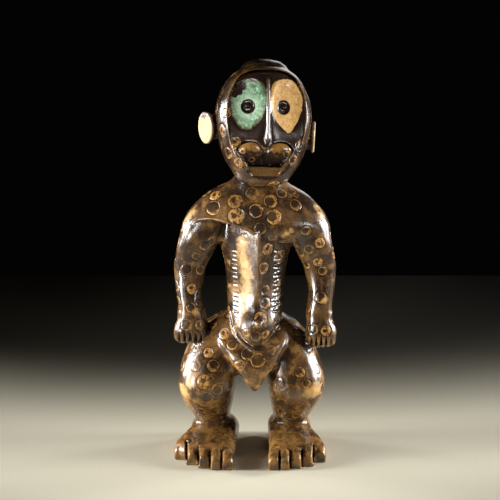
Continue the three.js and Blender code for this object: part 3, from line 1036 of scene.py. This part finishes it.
def mesh_of(name, points, faces):
    faces = np.ascontiguousarray(faces, np.int32)
    mesh = bpy.data.meshes.new(name)
    mesh.vertices.add(len(points))
    mesh.vertices.foreach_set("co", points.astype(np.float32).ravel())
    mesh.loops.add(faces.size)
    mesh.loops.foreach_set("vertex_index", faces.ravel())
    mesh.polygons.add(len(faces))
    mesh.polygons.foreach_set("loop_start", np.arange(0, faces.size, faces.shape[1], dtype=np.int32))
    mesh.update(calc_edges=True)
    return mesh


def coordinates(items, field):
    out = np.empty(len(items) * 3, np.float32)
    items.foreach_get(field, out)
    return out.reshape(-1, 3).astype(float)


def thinned(mesh):
    """The same mesh with no more than MOST_TRIANGLES triangles."""
    piece = bpy.data.objects.new("full", mesh)
    bpy.context.scene.collection.objects.link(piece)
    modifier = piece.modifiers.new("fewer", "DECIMATE")
    modifier.ratio = min(1, MOST_TRIANGLES / (2 * len(mesh.polygons)))
    evaluated = piece.evaluated_get(bpy.context.evaluated_depsgraph_get())
    result = bpy.data.meshes.new_from_object(evaluated)
    bpy.data.objects.remove(piece)
    return result


def write_attribute(mesh, name, values, domain="POINT"):
    kind = "FLOAT" if values.ndim == 1 else "FLOAT_VECTOR"
    attribute = mesh.attributes.new(name, kind, domain)
    field = "value" if kind == "FLOAT" else "vector"
    attribute.data.foreach_set(field, values.astype(np.float32).ravel())


# Places rubbed through to bright ochre: pixels across and down in the picture, radius in millimetres. The
# last seven, down the plane left of the keel, are a painted highlight over pale worn wood.
RUBBED_AND_HIGHLIGHT = (
    (191, 212, 11), (195, 203, 9), (186, 219, 8), (321, 214, 9), (317, 208, 7), (184, 391, 11),
    (189, 384, 8), (315, 391, 11), (309, 393, 8), (257, 387, 5), (283, 236, 4), (287, 233.5, 4),
    (291, 231, 4), (229, 285, 4), (229, 262, 4), (279, 283, 4), (203, 303, 6), (196, 312, 5),
    (325, 300, 5), (241, 243, 9), (243, 254, 10), (245, 265, 10), (246, 276, 11), (246, 287, 11),
    (245, 298, 10), (243, 308, 8),
)  # fmt: skip

EYE_OUTLINES = {
    VIEWERS_LEFT: (
        (24.5, 8), (22, 13.5), (14, 17.5), (0, 18), (-12, 15.5), (-20, 9.5), (-24.5, 3.5),
    ),
    VIEWERS_RIGHT: (
        (25, 7), (22.5, 12.5), (14, 16), (0, 16.8), (-12, 13), (-20, 7.5), (-26.5, 1.5),
    ),
}  # fmt: skip
# Where the pigment of the viewer's left eye has flaked away: across and up from the eye's middle, radius.
CHIP = ((-12.5, 14, 5), (-8, 18, 4.5), (-14.5, 9, 3.5), (-10, 11.5, 3))

# A dark spot near the foot of the viewer's left ear: across and up from the ear's middle, radius.
EAR_SPOT = (5, -7.5, 1.5)


def pigment(points, side):
    """How far inside the pigment of one eye each point is, in millimetres."""
    across, depth, up = inside_out(on_flat(side, EYE_ACROSS, EYE_UP), points).T
    outline = np.array(EYE_OUTLINES[side])
    angles = np.arctan2(outline[:, 1], outline[:, 0])
    reach = np.interp(np.arctan2(np.abs(across), up), angles, np.hypot(*outline.T))
    inside = reach - np.hypot(across, up)
    return np.where(np.abs(depth) < 10, np.clip(inside, -6, 30), -6)


def chipped(points):
    """How far inside the flaked part of the viewer's left eye each point is, in millimetres."""
    across, depth, up = inside_out(on_flat(VIEWERS_LEFT, EYE_ACROSS, EYE_UP), points).T
    inside = np.max([r - np.hypot(across - x, up - z) for x, z, r in CHIP], axis=0)
    return np.where(np.abs(depth) < 10, np.clip(inside, -6, 6), -6)


def hole(points, side):
    """How far inside one pupil each point is, in millimetres."""
    across, depth, up = inside_out(on_flat(side, PUPIL_ACROSS[side], PUPIL_UP), points).T
    return np.where(np.abs(depth) < 14, PUPIL_RADIUS - np.hypot(across, up), -6)


def kaolin(points):
    """How far inside the white faces of the ears each point is, in millimetres."""
    inside = np.full(len(points), -5.0)
    for ear in EARS:
        across, depth, up = inside_out(ear_place(ear), points).T
        rim = (0.98 - np.hypot(across / EAR_HALF_WIDTH, up / EAR_HALF_HEIGHT)) * EAR_HALF_WIDTH
        white = np.minimum(rim, -0.7 - depth)
        if ear["side"] == VIEWERS_LEFT:
            spot_across, spot_up, radius = EAR_SPOT
            white = np.minimum(white, np.hypot(across - spot_across, up - spot_up) - radius)
            white = np.minimum(white, 0.72 * EAR_HALF_HEIGHT - up)
        inside = np.maximum(inside, white)
    return np.clip(inside, -5, 5)


def ear_rims(points):
    """How far inside the discs of the ears each point is, in millimetres."""
    inside = np.full(len(points), -5.0)
    for ear in EARS:
        across, depth, up = inside_out(ear_place(ear), points).T
        rim = (1.1 - np.hypot(across / EAR_HALF_WIDTH, up / EAR_HALF_HEIGHT)) * EAR_HALF_WIDTH
        inside = np.maximum(inside, np.minimum(rim, 1.6 - np.abs(depth)))
    return np.clip(inside, -5, 5)


def lips(points):
    """How far inside the lobes of the mouth each point is, as a share, and how high on them."""
    inside = np.full(len(points), -1.0)
    height = np.zeros(len(points))
    for side in SIDES:
        place = inside_out(lobe_place(side), points) / LOBE_RADII
        share = 1.1 - np.linalg.norm(place, axis=1)
        height = np.where(share > inside, place[:, 2], height)
        inside = np.maximum(inside, share)
    return inside, height


def rubbed_and_highlight(carving, points):
    """1 in the middle of a rubbed patch or of a painted highlight, 0 at its edge and negative outside."""
    patches = np.array(RUBBED_AND_HIGHLIGHT)
    middles = seen_at(carving, patches[:, :2])
    shares = [1 - np.linalg.norm(points - m, axis=1) / r for m, r in zip(middles, patches[:, 2])]
    return np.maximum(np.max(shares, axis=0), -2)


def chin(points):
    """How far inside the stripe on the chin each point is, in millimetres."""
    x, y, z = inside_out(HEAD_PLACE, points).T
    inside = np.minimum(CHIN_HALF - np.abs(x), np.minimum(CHIN_TOP - z, z - CHIN_BOTTOM))
    return np.where(y < -30, np.clip(inside, -5, 5), -5)


def navel(points):
    return NAVEL_RADII[0] + 0.8 - np.linalg.norm(points - NAVEL_AT, axis=1)


def dress(mesh, carving, centres, radii):
    """Writes what the materials read: the nearest ring of each face, and masks at the vertices."""
    points = coordinates(mesh.vertices, "co")
    face = np.where(inside_out(HEAD_PLACE, points)[:, 1] < 0, -from_face(points), -10)
    lobes, lobe_height = lips(points)
    masks = {
        # High on edges, which are worn towards ochre, and low in hollows and creases, which get painted
        # shade.
        "edge_wear_and_hollow_shade": sampled(blurred(carving, 4), points),
        "face": np.where(points[:, 2] > NECK, face, -10),
        "green_pigment": pigment(points, VIEWERS_LEFT),
        "tan_pigment": pigment(points, VIEWERS_RIGHT),
        "chipped": chipped(points),
        "hole": np.maximum(hole(points, VIEWERS_LEFT), hole(points, VIEWERS_RIGHT)),
        "kaolin": kaolin(points),
        "ear_rims": ear_rims(points),
        "lips": lobes,
        "lip_height": lobe_height,
        "rubbed_and_highlight": rubbed_and_highlight(carving, points),
        "navel": navel(points),
        "chin": chin(points),
    }
    for name, values in masks.items():
        write_attribute(mesh, name, values)
    middles = coordinates(mesh.polygons, "center")
    chosen, _ = nearest_ring(middles, centres, radii)
    random = np.random.default_rng(5)
    kind = random.uniform(0, 1, len(centres))
    dark_disc = np.where(kind < 0.3, 0.95, np.where(kind < 0.75, 0.72, 0.4)) * radii
    # Each dark disc is pushed up and towards the viewer's left, leaving the ochre filling as a crescent low
    # on the right: the ochre is the rings' own, its one-sided crescent a painted highlight with painted shade
    # opposite.
    offset = random.normal(size=(len(centres), 3)) * 0.6 + (-0.9, 0, 0.5)
    offset *= 0.3 * (radii / np.linalg.norm(offset, axis=1))[:, None]
    strength = random.uniform(0.3, 1, len(centres))
    look = np.stack((radii, dark_disc, strength), 1)
    write_attribute(mesh, "ring_centre", centres[chosen], "FACE")
    write_attribute(mesh, "ring_spot", (centres + offset)[chosen], "FACE")
    write_attribute(mesh, "ring_look", look[chosen], "FACE")


def placing(mesh):
    """The scale and shift from the mesh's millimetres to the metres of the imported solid's box."""
    points = coordinates(mesh.vertices, "co")
    low, high = points.min(0), points.max(0)
    box_low, box_high = (np.array(corner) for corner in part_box("figure"))
    scale = (box_high[2] - box_low[2]) / (high[2] - low[2])
    shift = (box_low + box_high) / 2 - scale * (low + high) / 2
    return scale, shift


def place(mesh, scale, shift):
    points = coordinates(mesh.vertices, "co") * scale + shift
    mesh.vertices.foreach_set("co", points.astype(np.float32).ravel())
    for name in ("ring_centre", "ring_spot"):
        data = mesh.attributes[name].data
        middles = coordinates(data, "vector") + shift / scale
        data.foreach_set("vector", middles.astype(np.float32).ravel())
    mesh.update()


def carved_mesh():
    carving = carved_figure()
    points, quads = carving.skin()
    normals = outward(carving.values, points)
    centres, radii = ring_places(carving.values, points, normals)
    chosen, away = nearest_ring(points, centres, radii)
    points += normals * relief(points, away - radii[chosen])[:, None]
    points[:, 2] = np.maximum(points[:, 2], 0)
    mesh = thinned(mesh_of("full", points, quads))
    dress(mesh, carving.values, centres, radii)
    mesh.shade_smooth()
    return mesh


# Nodes


def colour(red, green, blue):
    """A colour given as a picture's values from 0 to 255."""
    values = []
    for value in (red, green, blue):
        share = value / 255
        values.append(share / 12.92 if share <= 0.04045 else ((share + 0.055) / 1.055) ** 2.4)
    return (*values, 1)


def connect(tree, socket, value):
    """Sets a socket, or joins another node's output to it."""
    if isinstance(value, bpy.types.NodeSocket):
        tree.links.new(value, socket)
    else:
        socket.default_value = value


def maths(tree, operation, *values, clamp=False):
    node = tree.nodes.new("ShaderNodeMath")
    node.operation = operation
    node.use_clamp = clamp
    for socket, value in zip(node.inputs, values):
        connect(tree, socket, value)
    return node.outputs[0]


def vectors(tree, operation, *values, scale=None):
    node = tree.nodes.new("ShaderNodeVectorMath")
    node.operation = operation
    for socket, value in zip(node.inputs, values):
        connect(tree, socket, value)
    if scale is not None:
        node.inputs["Scale"].default_value = scale
    single = operation in ("LENGTH", "DISTANCE", "DOT_PRODUCT")
    return node.outputs["Value" if single else "Vector"]


def rising(tree, value, start, end):
    """0 up to one value and 1 from another, with a smooth change between."""
    node = tree.nodes.new("ShaderNodeMapRange")
    node.interpolation_type = "SMOOTHSTEP"
    connect(tree, node.inputs["Value"], value)
    connect(tree, node.inputs["From Min"], start)
    connect(tree, node.inputs["From Max"], end)
    return node.outputs["Result"]


def painted(tree, under, over, share):
    """One colour over another, as far as the share says."""
    node = tree.nodes.new("ShaderNodeMix")
    node.data_type = "RGBA"
    connect(tree, node.inputs[0], share)
    connect(tree, node.inputs[6], under)
    connect(tree, node.inputs[7], over)
    return node.outputs[2]


def lumps(tree, at, size, detail=2.0, roughness=0.5, stretch=(1, 1, 1)):
    """Noise from 0 to 1 whose lumps are about this many millimetres across."""
    place = vectors(tree, "MULTIPLY", at, tuple(1 / (size * s) for s in stretch))
    node = tree.nodes.new("ShaderNodeTexNoise")
    tree.links.new(place, node.inputs["Vector"])
    node.inputs["Scale"].default_value = 1
    node.inputs["Detail"].default_value = detail
    node.inputs["Roughness"].default_value = roughness
    return node.outputs["Fac"]


def read(tree, name, output="Fac"):
    """A value that the mesh carries."""
    node = tree.nodes.new("ShaderNodeAttribute")
    node.attribute_name = name
    return node.outputs[output]


def part_of(tree, vector, axis):
    node = tree.nodes.new("ShaderNodeSeparateXYZ")
    tree.links.new(vector, node.inputs[0])
    return node.outputs[axis]


def millimetres(tree):
    """Where a point is on the piece, in millimetres."""
    node = tree.nodes.new("ShaderNodeTexCoord")
    return vectors(tree, "SCALE", node.outputs["Object"], scale=1000)


# Materials

DARK_WOOD = colour(42, 29, 20)
MID_WOOD = colour(98, 70, 38)
FACE_WOOD = colour(40, 25, 17)
# Near black: for soot, the dark edges of rings, and painted shade in hollows and creases.
DARK_MARKS_AND_HOLLOW_SHADE = colour(17, 12, 10)
OCHRE = colour(184, 132, 64)
PALE_OCHRE = colour(212, 166, 96)
DEEP_GREEN = colour(64, 100, 62)
GREEN_PIGMENT = colour(112, 164, 118)
PALE_GREEN = colour(196, 224, 190)
TAN_PIGMENT = colour(194, 144, 74)
PALE_TAN = colour(216, 168, 96)
KAOLIN = colour(206, 184, 130)
EAR_EDGE = colour(142, 106, 78)


def times(tree, *shares):
    """The product of some shares."""
    result = shares[0]
    for share in shares[1:]:
        result = maths(tree, "MULTIPLY", result, share)
    return result


def most(tree, *shares):
    result = shares[0]
    for share in shares[1:]:
        result = maths(tree, "MAXIMUM", result, share)
    return result


def ring_shares(tree, at):
    """The shares of ochre in the line and the filling of the nearest ring, its dark inside and edges."""
    look = read(tree, "ring_look", "Vector")
    radius = part_of(tree, look, 0)
    dark_radius = part_of(tree, look, 1)
    strength = part_of(tree, look, 2)
    wobble = maths(tree, "MULTIPLY_ADD", lumps(tree, at, 4, detail=1), 1.2, -0.6)
    away = maths(tree, "ADD", vectors(tree, "DISTANCE", at, read(tree, "ring_centre", "Vector")), wobble)
    spot_away = vectors(tree, "DISTANCE", at, read(tree, "ring_spot", "Vector"))
    spot_away = maths(tree, "MULTIPLY_ADD", wobble, 1.6, spot_away)
    from_line = maths(tree, "ABSOLUTE", maths(tree, "SUBTRACT", away, radius))
    line = times(tree, rising(tree, from_line, 0.65, 0.1), rising(tree, lumps(tree, at, 6), 0.36, 0.6))
    halo = times(tree, rising(tree, from_line, 1.9, 0.7), maths(tree, "SUBTRACT", 1, line))
    inside = rising(tree, maths(tree, "SUBTRACT", radius, away), -0.2, 0.5)
    # The dark disc sits off centre, so the ochre filling shows as a one-sided crescent: painted highlight and
    # painted shade over the rings' own ochre.
    outside_spot = rising(tree, maths(tree, "SUBTRACT", spot_away, dark_radius), -0.7, 0.7)
    patchy = rising(tree, lumps(tree, at, 2.4, detail=4, roughness=0.65), 0.4, 0.56)
    fill = times(tree, inside, outside_spot, patchy)
    dark = times(tree, inside, maths(tree, "SUBTRACT", 1, fill))
    return times(tree, line, strength), times(tree, fill, strength), dark, halo


def add_pigments(tree, at, wood, fine):
    """Paints the eyes, pupils and ears over the wood, and returns the colour and the matt share."""
    clots = lumps(tree, at, 4.5, detail=5, roughness=0.7)
    specks = rising(tree, lumps(tree, at, 1.8, detail=3, roughness=0.7), 0.54, 0.64)
    ragged = maths(tree, "MULTIPLY_ADD", lumps(tree, at, 3, detail=4), 5, -2.5)

    green_inside = maths(tree, "ADD", read(tree, "green_pigment"), ragged)
    chip = rising(tree, maths(tree, "MULTIPLY_ADD", ragged, 0.8, read(tree, "chipped")), -0.2, 0.4)
    green = times(tree, rising(tree, green_inside, 0, 3), maths(tree, "SUBTRACT", 1, chip))
    tan = rising(tree, maths(tree, "MULTIPLY_ADD", ragged, 0.5, read(tree, "tan_pigment")), 0, 0.9)

    near_pupil = rising(tree, read(tree, "hole"), -10, -0.5)
    paint = painted(tree, DEEP_GREEN, GREEN_PIGMENT, rising(tree, clots, 0.42, 0.56))
    paleness = most(tree, times(tree, near_pupil, 0.8), rising(tree, clots, 0.52, 0.64))
    paint = painted(tree, paint, PALE_GREEN, times(tree, paleness, 0.8))
    paint = painted(tree, paint, MID_WOOD, times(tree, rising(tree, green_inside, 6, 1), 0.7))
    paint = painted(tree, paint, DARK_WOOD, times(tree, specks, 0.75))
    wood = painted(tree, wood, paint, green)

    scratches = lumps(tree, at, 1.3, detail=3, roughness=0.7, stretch=(2.2, 1, 1))
    paint = painted(tree, TAN_PIGMENT, PALE_TAN, rising(tree, clots, 0.4, 0.58))
    paint = painted(tree, paint, MID_WOOD, times(tree, rising(tree, scratches, 0.54, 0.66), 0.75))
    wood = painted(tree, wood, paint, tan)

    hole = rising(tree, read(tree, "hole"), -0.3, 0.4)
    wood = painted(tree, wood, FACE_WOOD, hole)
    rim = rising(tree, read(tree, "ear_rims"), 0, 0.4)
    wood = painted(tree, wood, EAR_EDGE, rim)
    white = rising(tree, maths(tree, "MULTIPLY_ADD", ragged, 0.08, read(tree, "kaolin")), -0.2, 0.3)
    wood = painted(tree, wood, painted(tree, KAOLIN, PALE_TAN, times(tree, specks, 0.4)), white)
    matt = times(tree, most(tree, green, tan, white, times(tree, rim, 0.6)), maths(tree, "SUBTRACT", 1, hole))
    return wood, matt, clots


def wood_material():
    material = bpy.data.materials.new("carved_wood")
    material.use_nodes = True
    tree = material.node_tree
    shader = tree.nodes["Principled BSDF"]
    at = millimetres(tree)
    height = part_of(tree, at, 2)

    grain = lumps(tree, at, 1.5, detail=4, stretch=(1, 1, 14))
    cloud = lumps(tree, at, 22, detail=5, roughness=0.62)
    fine = lumps(tree, at, 1.1, detail=3)
    edge_wear_and_hollow_shade = read(tree, "edge_wear_and_hollow_shade")
    legs = rising(tree, height, 165, 75)
    feet = rising(tree, height, 32, 18)
    face = rising(tree, read(tree, "face"), -0.5, 1)

    lightness = maths(tree, "MULTIPLY_ADD", legs, 0.3, rising(tree, cloud, 0.42, 0.64))
    lightness = maths(tree, "MULTIPLY_ADD", rising(tree, height, 282, 300), -0.35, lightness)
    lightness = maths(tree, "ADD", lightness, maths(tree, "MULTIPLY_ADD", grain, 0.9, -0.5))
    wood = painted(tree, DARK_WOOD, MID_WOOD, maths(tree, "MULTIPLY", lightness, 0.8, clamp=True))
    wood = painted(tree, wood, FACE_WOOD, times(tree, face, 0.85))
    # Painted shade: hollows and creases are darkened towards near black.
    wood = painted(tree, wood, DARK_MARKS_AND_HOLLOW_SHADE, rising(tree, edge_wear_and_hollow_shade, 0.1, -1.2))

    line, fill, dark, halo = ring_shares(tree, at)
    smear = lumps(tree, at, 15, detail=6, roughness=0.72)
    smear = maths(tree, "MULTIPLY_ADD", legs, 0.06, maths(tree, "MULTIPLY_ADD", feet, 0.05, smear))
    dust = times(tree, rising(tree, smear, 0.5, 0.68), maths(tree, "SUBTRACT", 1, face))
    soot = rising(tree, lumps(tree, at, 17, detail=6, roughness=0.72), 0.5, 0.7)
    head = rising(tree, height, 284, 300)
    dusty = maths(tree, "MULTIPLY_ADD", legs, 0.2, maths(tree, "MULTIPLY_ADD", head, -0.1, 0.24))
    edge = times(tree, rising(tree, edge_wear_and_hollow_shade, 0.4, 1.1), rising(tree, fine, 0.35, 0.6))
    rub_and_highlight = maths(tree, "MULTIPLY_ADD", cloud, 2.2, read(tree, "rubbed_and_highlight"))
    rub_and_highlight = maths(tree, "MULTIPLY_ADD", lumps(tree, at, 4, detail=4), 1.2, rub_and_highlight)
    rubbed_and_highlight_patch = times(tree, rising(tree, rub_and_highlight, 1.6, 2.7), rising(tree, read(tree, "rubbed_and_highlight"), -0.3, 0.4))
    wood = painted(tree, wood, OCHRE, times(tree, dust, dusty))
    wood = painted(tree, wood, DARK_MARKS_AND_HOLLOW_SHADE, times(tree, soot, 0.6))
    stripe = rising(tree, read(tree, "chin"), -0.2, 0.8)
    wood = painted(tree, wood, OCHRE, times(tree, stripe, cloud, 0.4))
    # Lobes of the mouth: ochre on their upper parts, partly their own ochre and partly a painted highlight
    # where they face up, with dark wood below as painted shade.
    lip = rising(tree, read(tree, "lips"), -0.02, 0.08)
    upper = maths(tree, "MULTIPLY_ADD", lumps(tree, at, 3, detail=4), 1.6, read(tree, "lip_height"))
    upper = rising(tree, upper, 0.75, 1.7)
    wood = painted(tree, wood, painted(tree, FACE_WOOD, OCHRE, times(tree, upper, 0.55)), lip)
    wood = painted(tree, wood, DARK_WOOD, times(tree, dark, 0.6))
    wood = painted(tree, wood, DARK_MARKS_AND_HOLLOW_SHADE, times(tree, halo, 0.6))
    wood = painted(tree, wood, OCHRE, times(tree, edge, 0.25))
    wood = painted(tree, wood, OCHRE, times(tree, fill, 0.9))
    wood = painted(tree, wood, OCHRE, times(tree, line, 0.75))
    # Pale ochre patches: rubbed wear, and down the plane left of the keel a painted highlight over pale worn
    # wood.
    wood = painted(tree, wood, PALE_OCHRE, times(tree, rubbed_and_highlight_patch, 0.6))
    wood = painted(tree, wood, FACE_WOOD, rising(tree, read(tree, "navel"), 0, 0.6))
    wood, matt, clots = add_pigments(tree, at, wood, fine)
    tree.links.new(wood, shader.inputs["Base Color"])

    ochre = most(tree, fill, rubbed_and_highlight_patch, times(tree, dust, 0.5))
    roughness = maths(tree, "MULTIPLY_ADD", ochre, 0.2, 0.14)
    roughness = maths(tree, "MULTIPLY_ADD", cloud, 0.16, roughness)
    roughness = maths(tree, "MULTIPLY_ADD", matt, 0.4, roughness, clamp=True)
    tree.links.new(roughness, shader.inputs["Roughness"])
    shader.inputs["Coat Weight"].default_value = 0.2
    shader.inputs["Coat Roughness"].default_value = 0.14

    bump = tree.nodes.new("ShaderNodeBump")
    bump.inputs["Strength"].default_value = 0.7
    bump.inputs["Distance"].default_value = 0.001
    rise = maths(tree, "MULTIPLY_ADD", grain, 0.22, maths(tree, "MULTIPLY", fine, 0.1))
    rise = maths(tree, "MULTIPLY_ADD", line, -0.25, rise)
    rise = maths(tree, "MULTIPLY_ADD", times(tree, matt, clots), 0.7, rise)
    tree.links.new(rise, bump.inputs["Height"])
    tree.links.new(bump.outputs["Normal"], shader.inputs["Normal"])
    return material


def floor_material():
    material = bpy.data.materials.new("pale_floor")
    material.use_nodes = True
    tree = material.node_tree
    shader = tree.nodes["Principled BSDF"]
    paper = lumps(tree, millimetres(tree), 4, detail=3)
    pale = painted(tree, colour(211, 204, 181), colour(218, 211, 188), paper)
    tree.links.new(pale, shader.inputs["Base Color"])
    shader.inputs["Roughness"].default_value = 0.75
    return material


# The stage

FLOOR_LEFT, FLOOR_RIGHT = -2.5, 2.5
FLOOR_FRONT, FLOOR_BACK = -2.5, 0.7


def add_floor():
    corners = np.array(
        [
            (FLOOR_LEFT, FLOOR_FRONT, 0),
            (FLOOR_RIGHT, FLOOR_FRONT, 0),
            (FLOOR_RIGHT, FLOOR_BACK, 0),
            (FLOOR_LEFT, FLOOR_BACK, 0),
        ]
    )
    mesh = mesh_of("floor", corners, [(0, 1, 2, 3)])
    mesh.materials.append(floor_material())
    floor = bpy.data.objects.new("floor", mesh)
    bpy.context.scene.collection.objects.link(floor)
    floor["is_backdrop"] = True


def add_camera(scale, shift):
    data = bpy.data.cameras.new("camera")
    data.lens = FOCAL_PIXELS / PICTURE_SIZE * SENSOR_WIDTH
    data.sensor_width = SENSOR_WIDTH
    camera = bpy.data.objects.new("camera", data)
    matrix = np.eye(4)
    matrix[:3, :3] = np.column_stack((VIEW_RIGHT, VIEW_UP, -VIEW_FORWARD))
    matrix[:3, 3] = CAMERA_AT * scale + shift
    camera.matrix_world = Matrix(matrix.tolist())
    bpy.context.scene.collection.objects.link(camera)
    bpy.context.scene.camera = camera


def add_light(name, at, aim, size, watts, spread=180):
    """A soft rectangular light."""
    data = bpy.data.lights.new(name, "AREA")
    data.shape = "RECTANGLE"
    data.size, data.size_y = size
    data.energy = watts
    data.spread = math.radians(spread)
    light = bpy.data.objects.new(name, data)
    light.location = at
    light.rotation_euler = (Vector(aim) - Vector(at)).to_track_quat("-Z", "Y").to_euler()
    bpy.context.scene.collection.objects.link(light)


# Soft lights stand round the figure: degrees from the front (the viewer's left is negative), height, the
# height they aim at, spread in degrees and watts.
LIGHTS = (
    ("left_side", -88, 0.29, 0.12, 37, 1.2),
    ("left_rim", -114, 0.29, 0.14, 37, 0.66),
    ("right_side", 92, 0.29, 0.12, 37, 0.92),
    ("right_rim", 116, 0.29, 0.14, 37, 0.72),
    ("left_low", -54, 0.12, 0.17, 23, 0.32),
    ("left_front", -30, 0.34, 0.31, 24, 0.1),
    ("right_front", 46, 0.34, 0.31, 24, 0.09),
)
LIGHT_DISTANCE = 0.9
LIGHT_WIDTH = 0.2
TALL, SHORT = 0.46, 0.2
LIGHTS_MIDDLE = -0.06


def add_lights():
    for name, azimuth, height, aim_height, spread, watts in LIGHTS:
        angle = math.radians(azimuth)
        across, back = LIGHT_DISTANCE * math.sin(angle), -LIGHT_DISTANCE * math.cos(angle)
        size = (LIGHT_WIDTH, TALL if height > aim_height + 0.1 else SHORT)
        at = (across, back + LIGHTS_MIDDLE, height)
        add_light(name, at, (0, LIGHTS_MIDDLE, aim_height), size, watts, spread)
    add_light("top", (0, -0.35, 1.5), (0, -0.1, 0.2), (0.5, 0.3), 0.04, spread=50)
    add_light("back", (0.3, 1.3, 0.5), (0, 0, 0.24), (0.5, 0.5), 0.06, spread=36)
    world = bpy.data.worlds.new("dark_studio")
    bpy.context.scene.world = world
    world.use_nodes = True
    world.node_tree.nodes["Background"].inputs["Color"].default_value = colour(3, 3, 3)
    bpy.context.scene.view_settings.view_transform = "Standard"


def main():
    mesh = carved_mesh()
    scale, shift = placing(mesh)
    place(mesh, scale, shift)
    piece = bpy.data.objects.new("carved_figure", mesh)
    bpy.context.scene.collection.objects.link(piece)
    mesh.materials.append(wood_material())
    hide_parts("figure")
    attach(piece, "root")
    add_floor()
    add_camera(scale, shift)
    add_lights()
    sizes = {"cad": cad_bounds, "visual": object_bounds()}
    sizes = {name: [list(corner) for corner in box] for name, box in sizes.items()}


main()
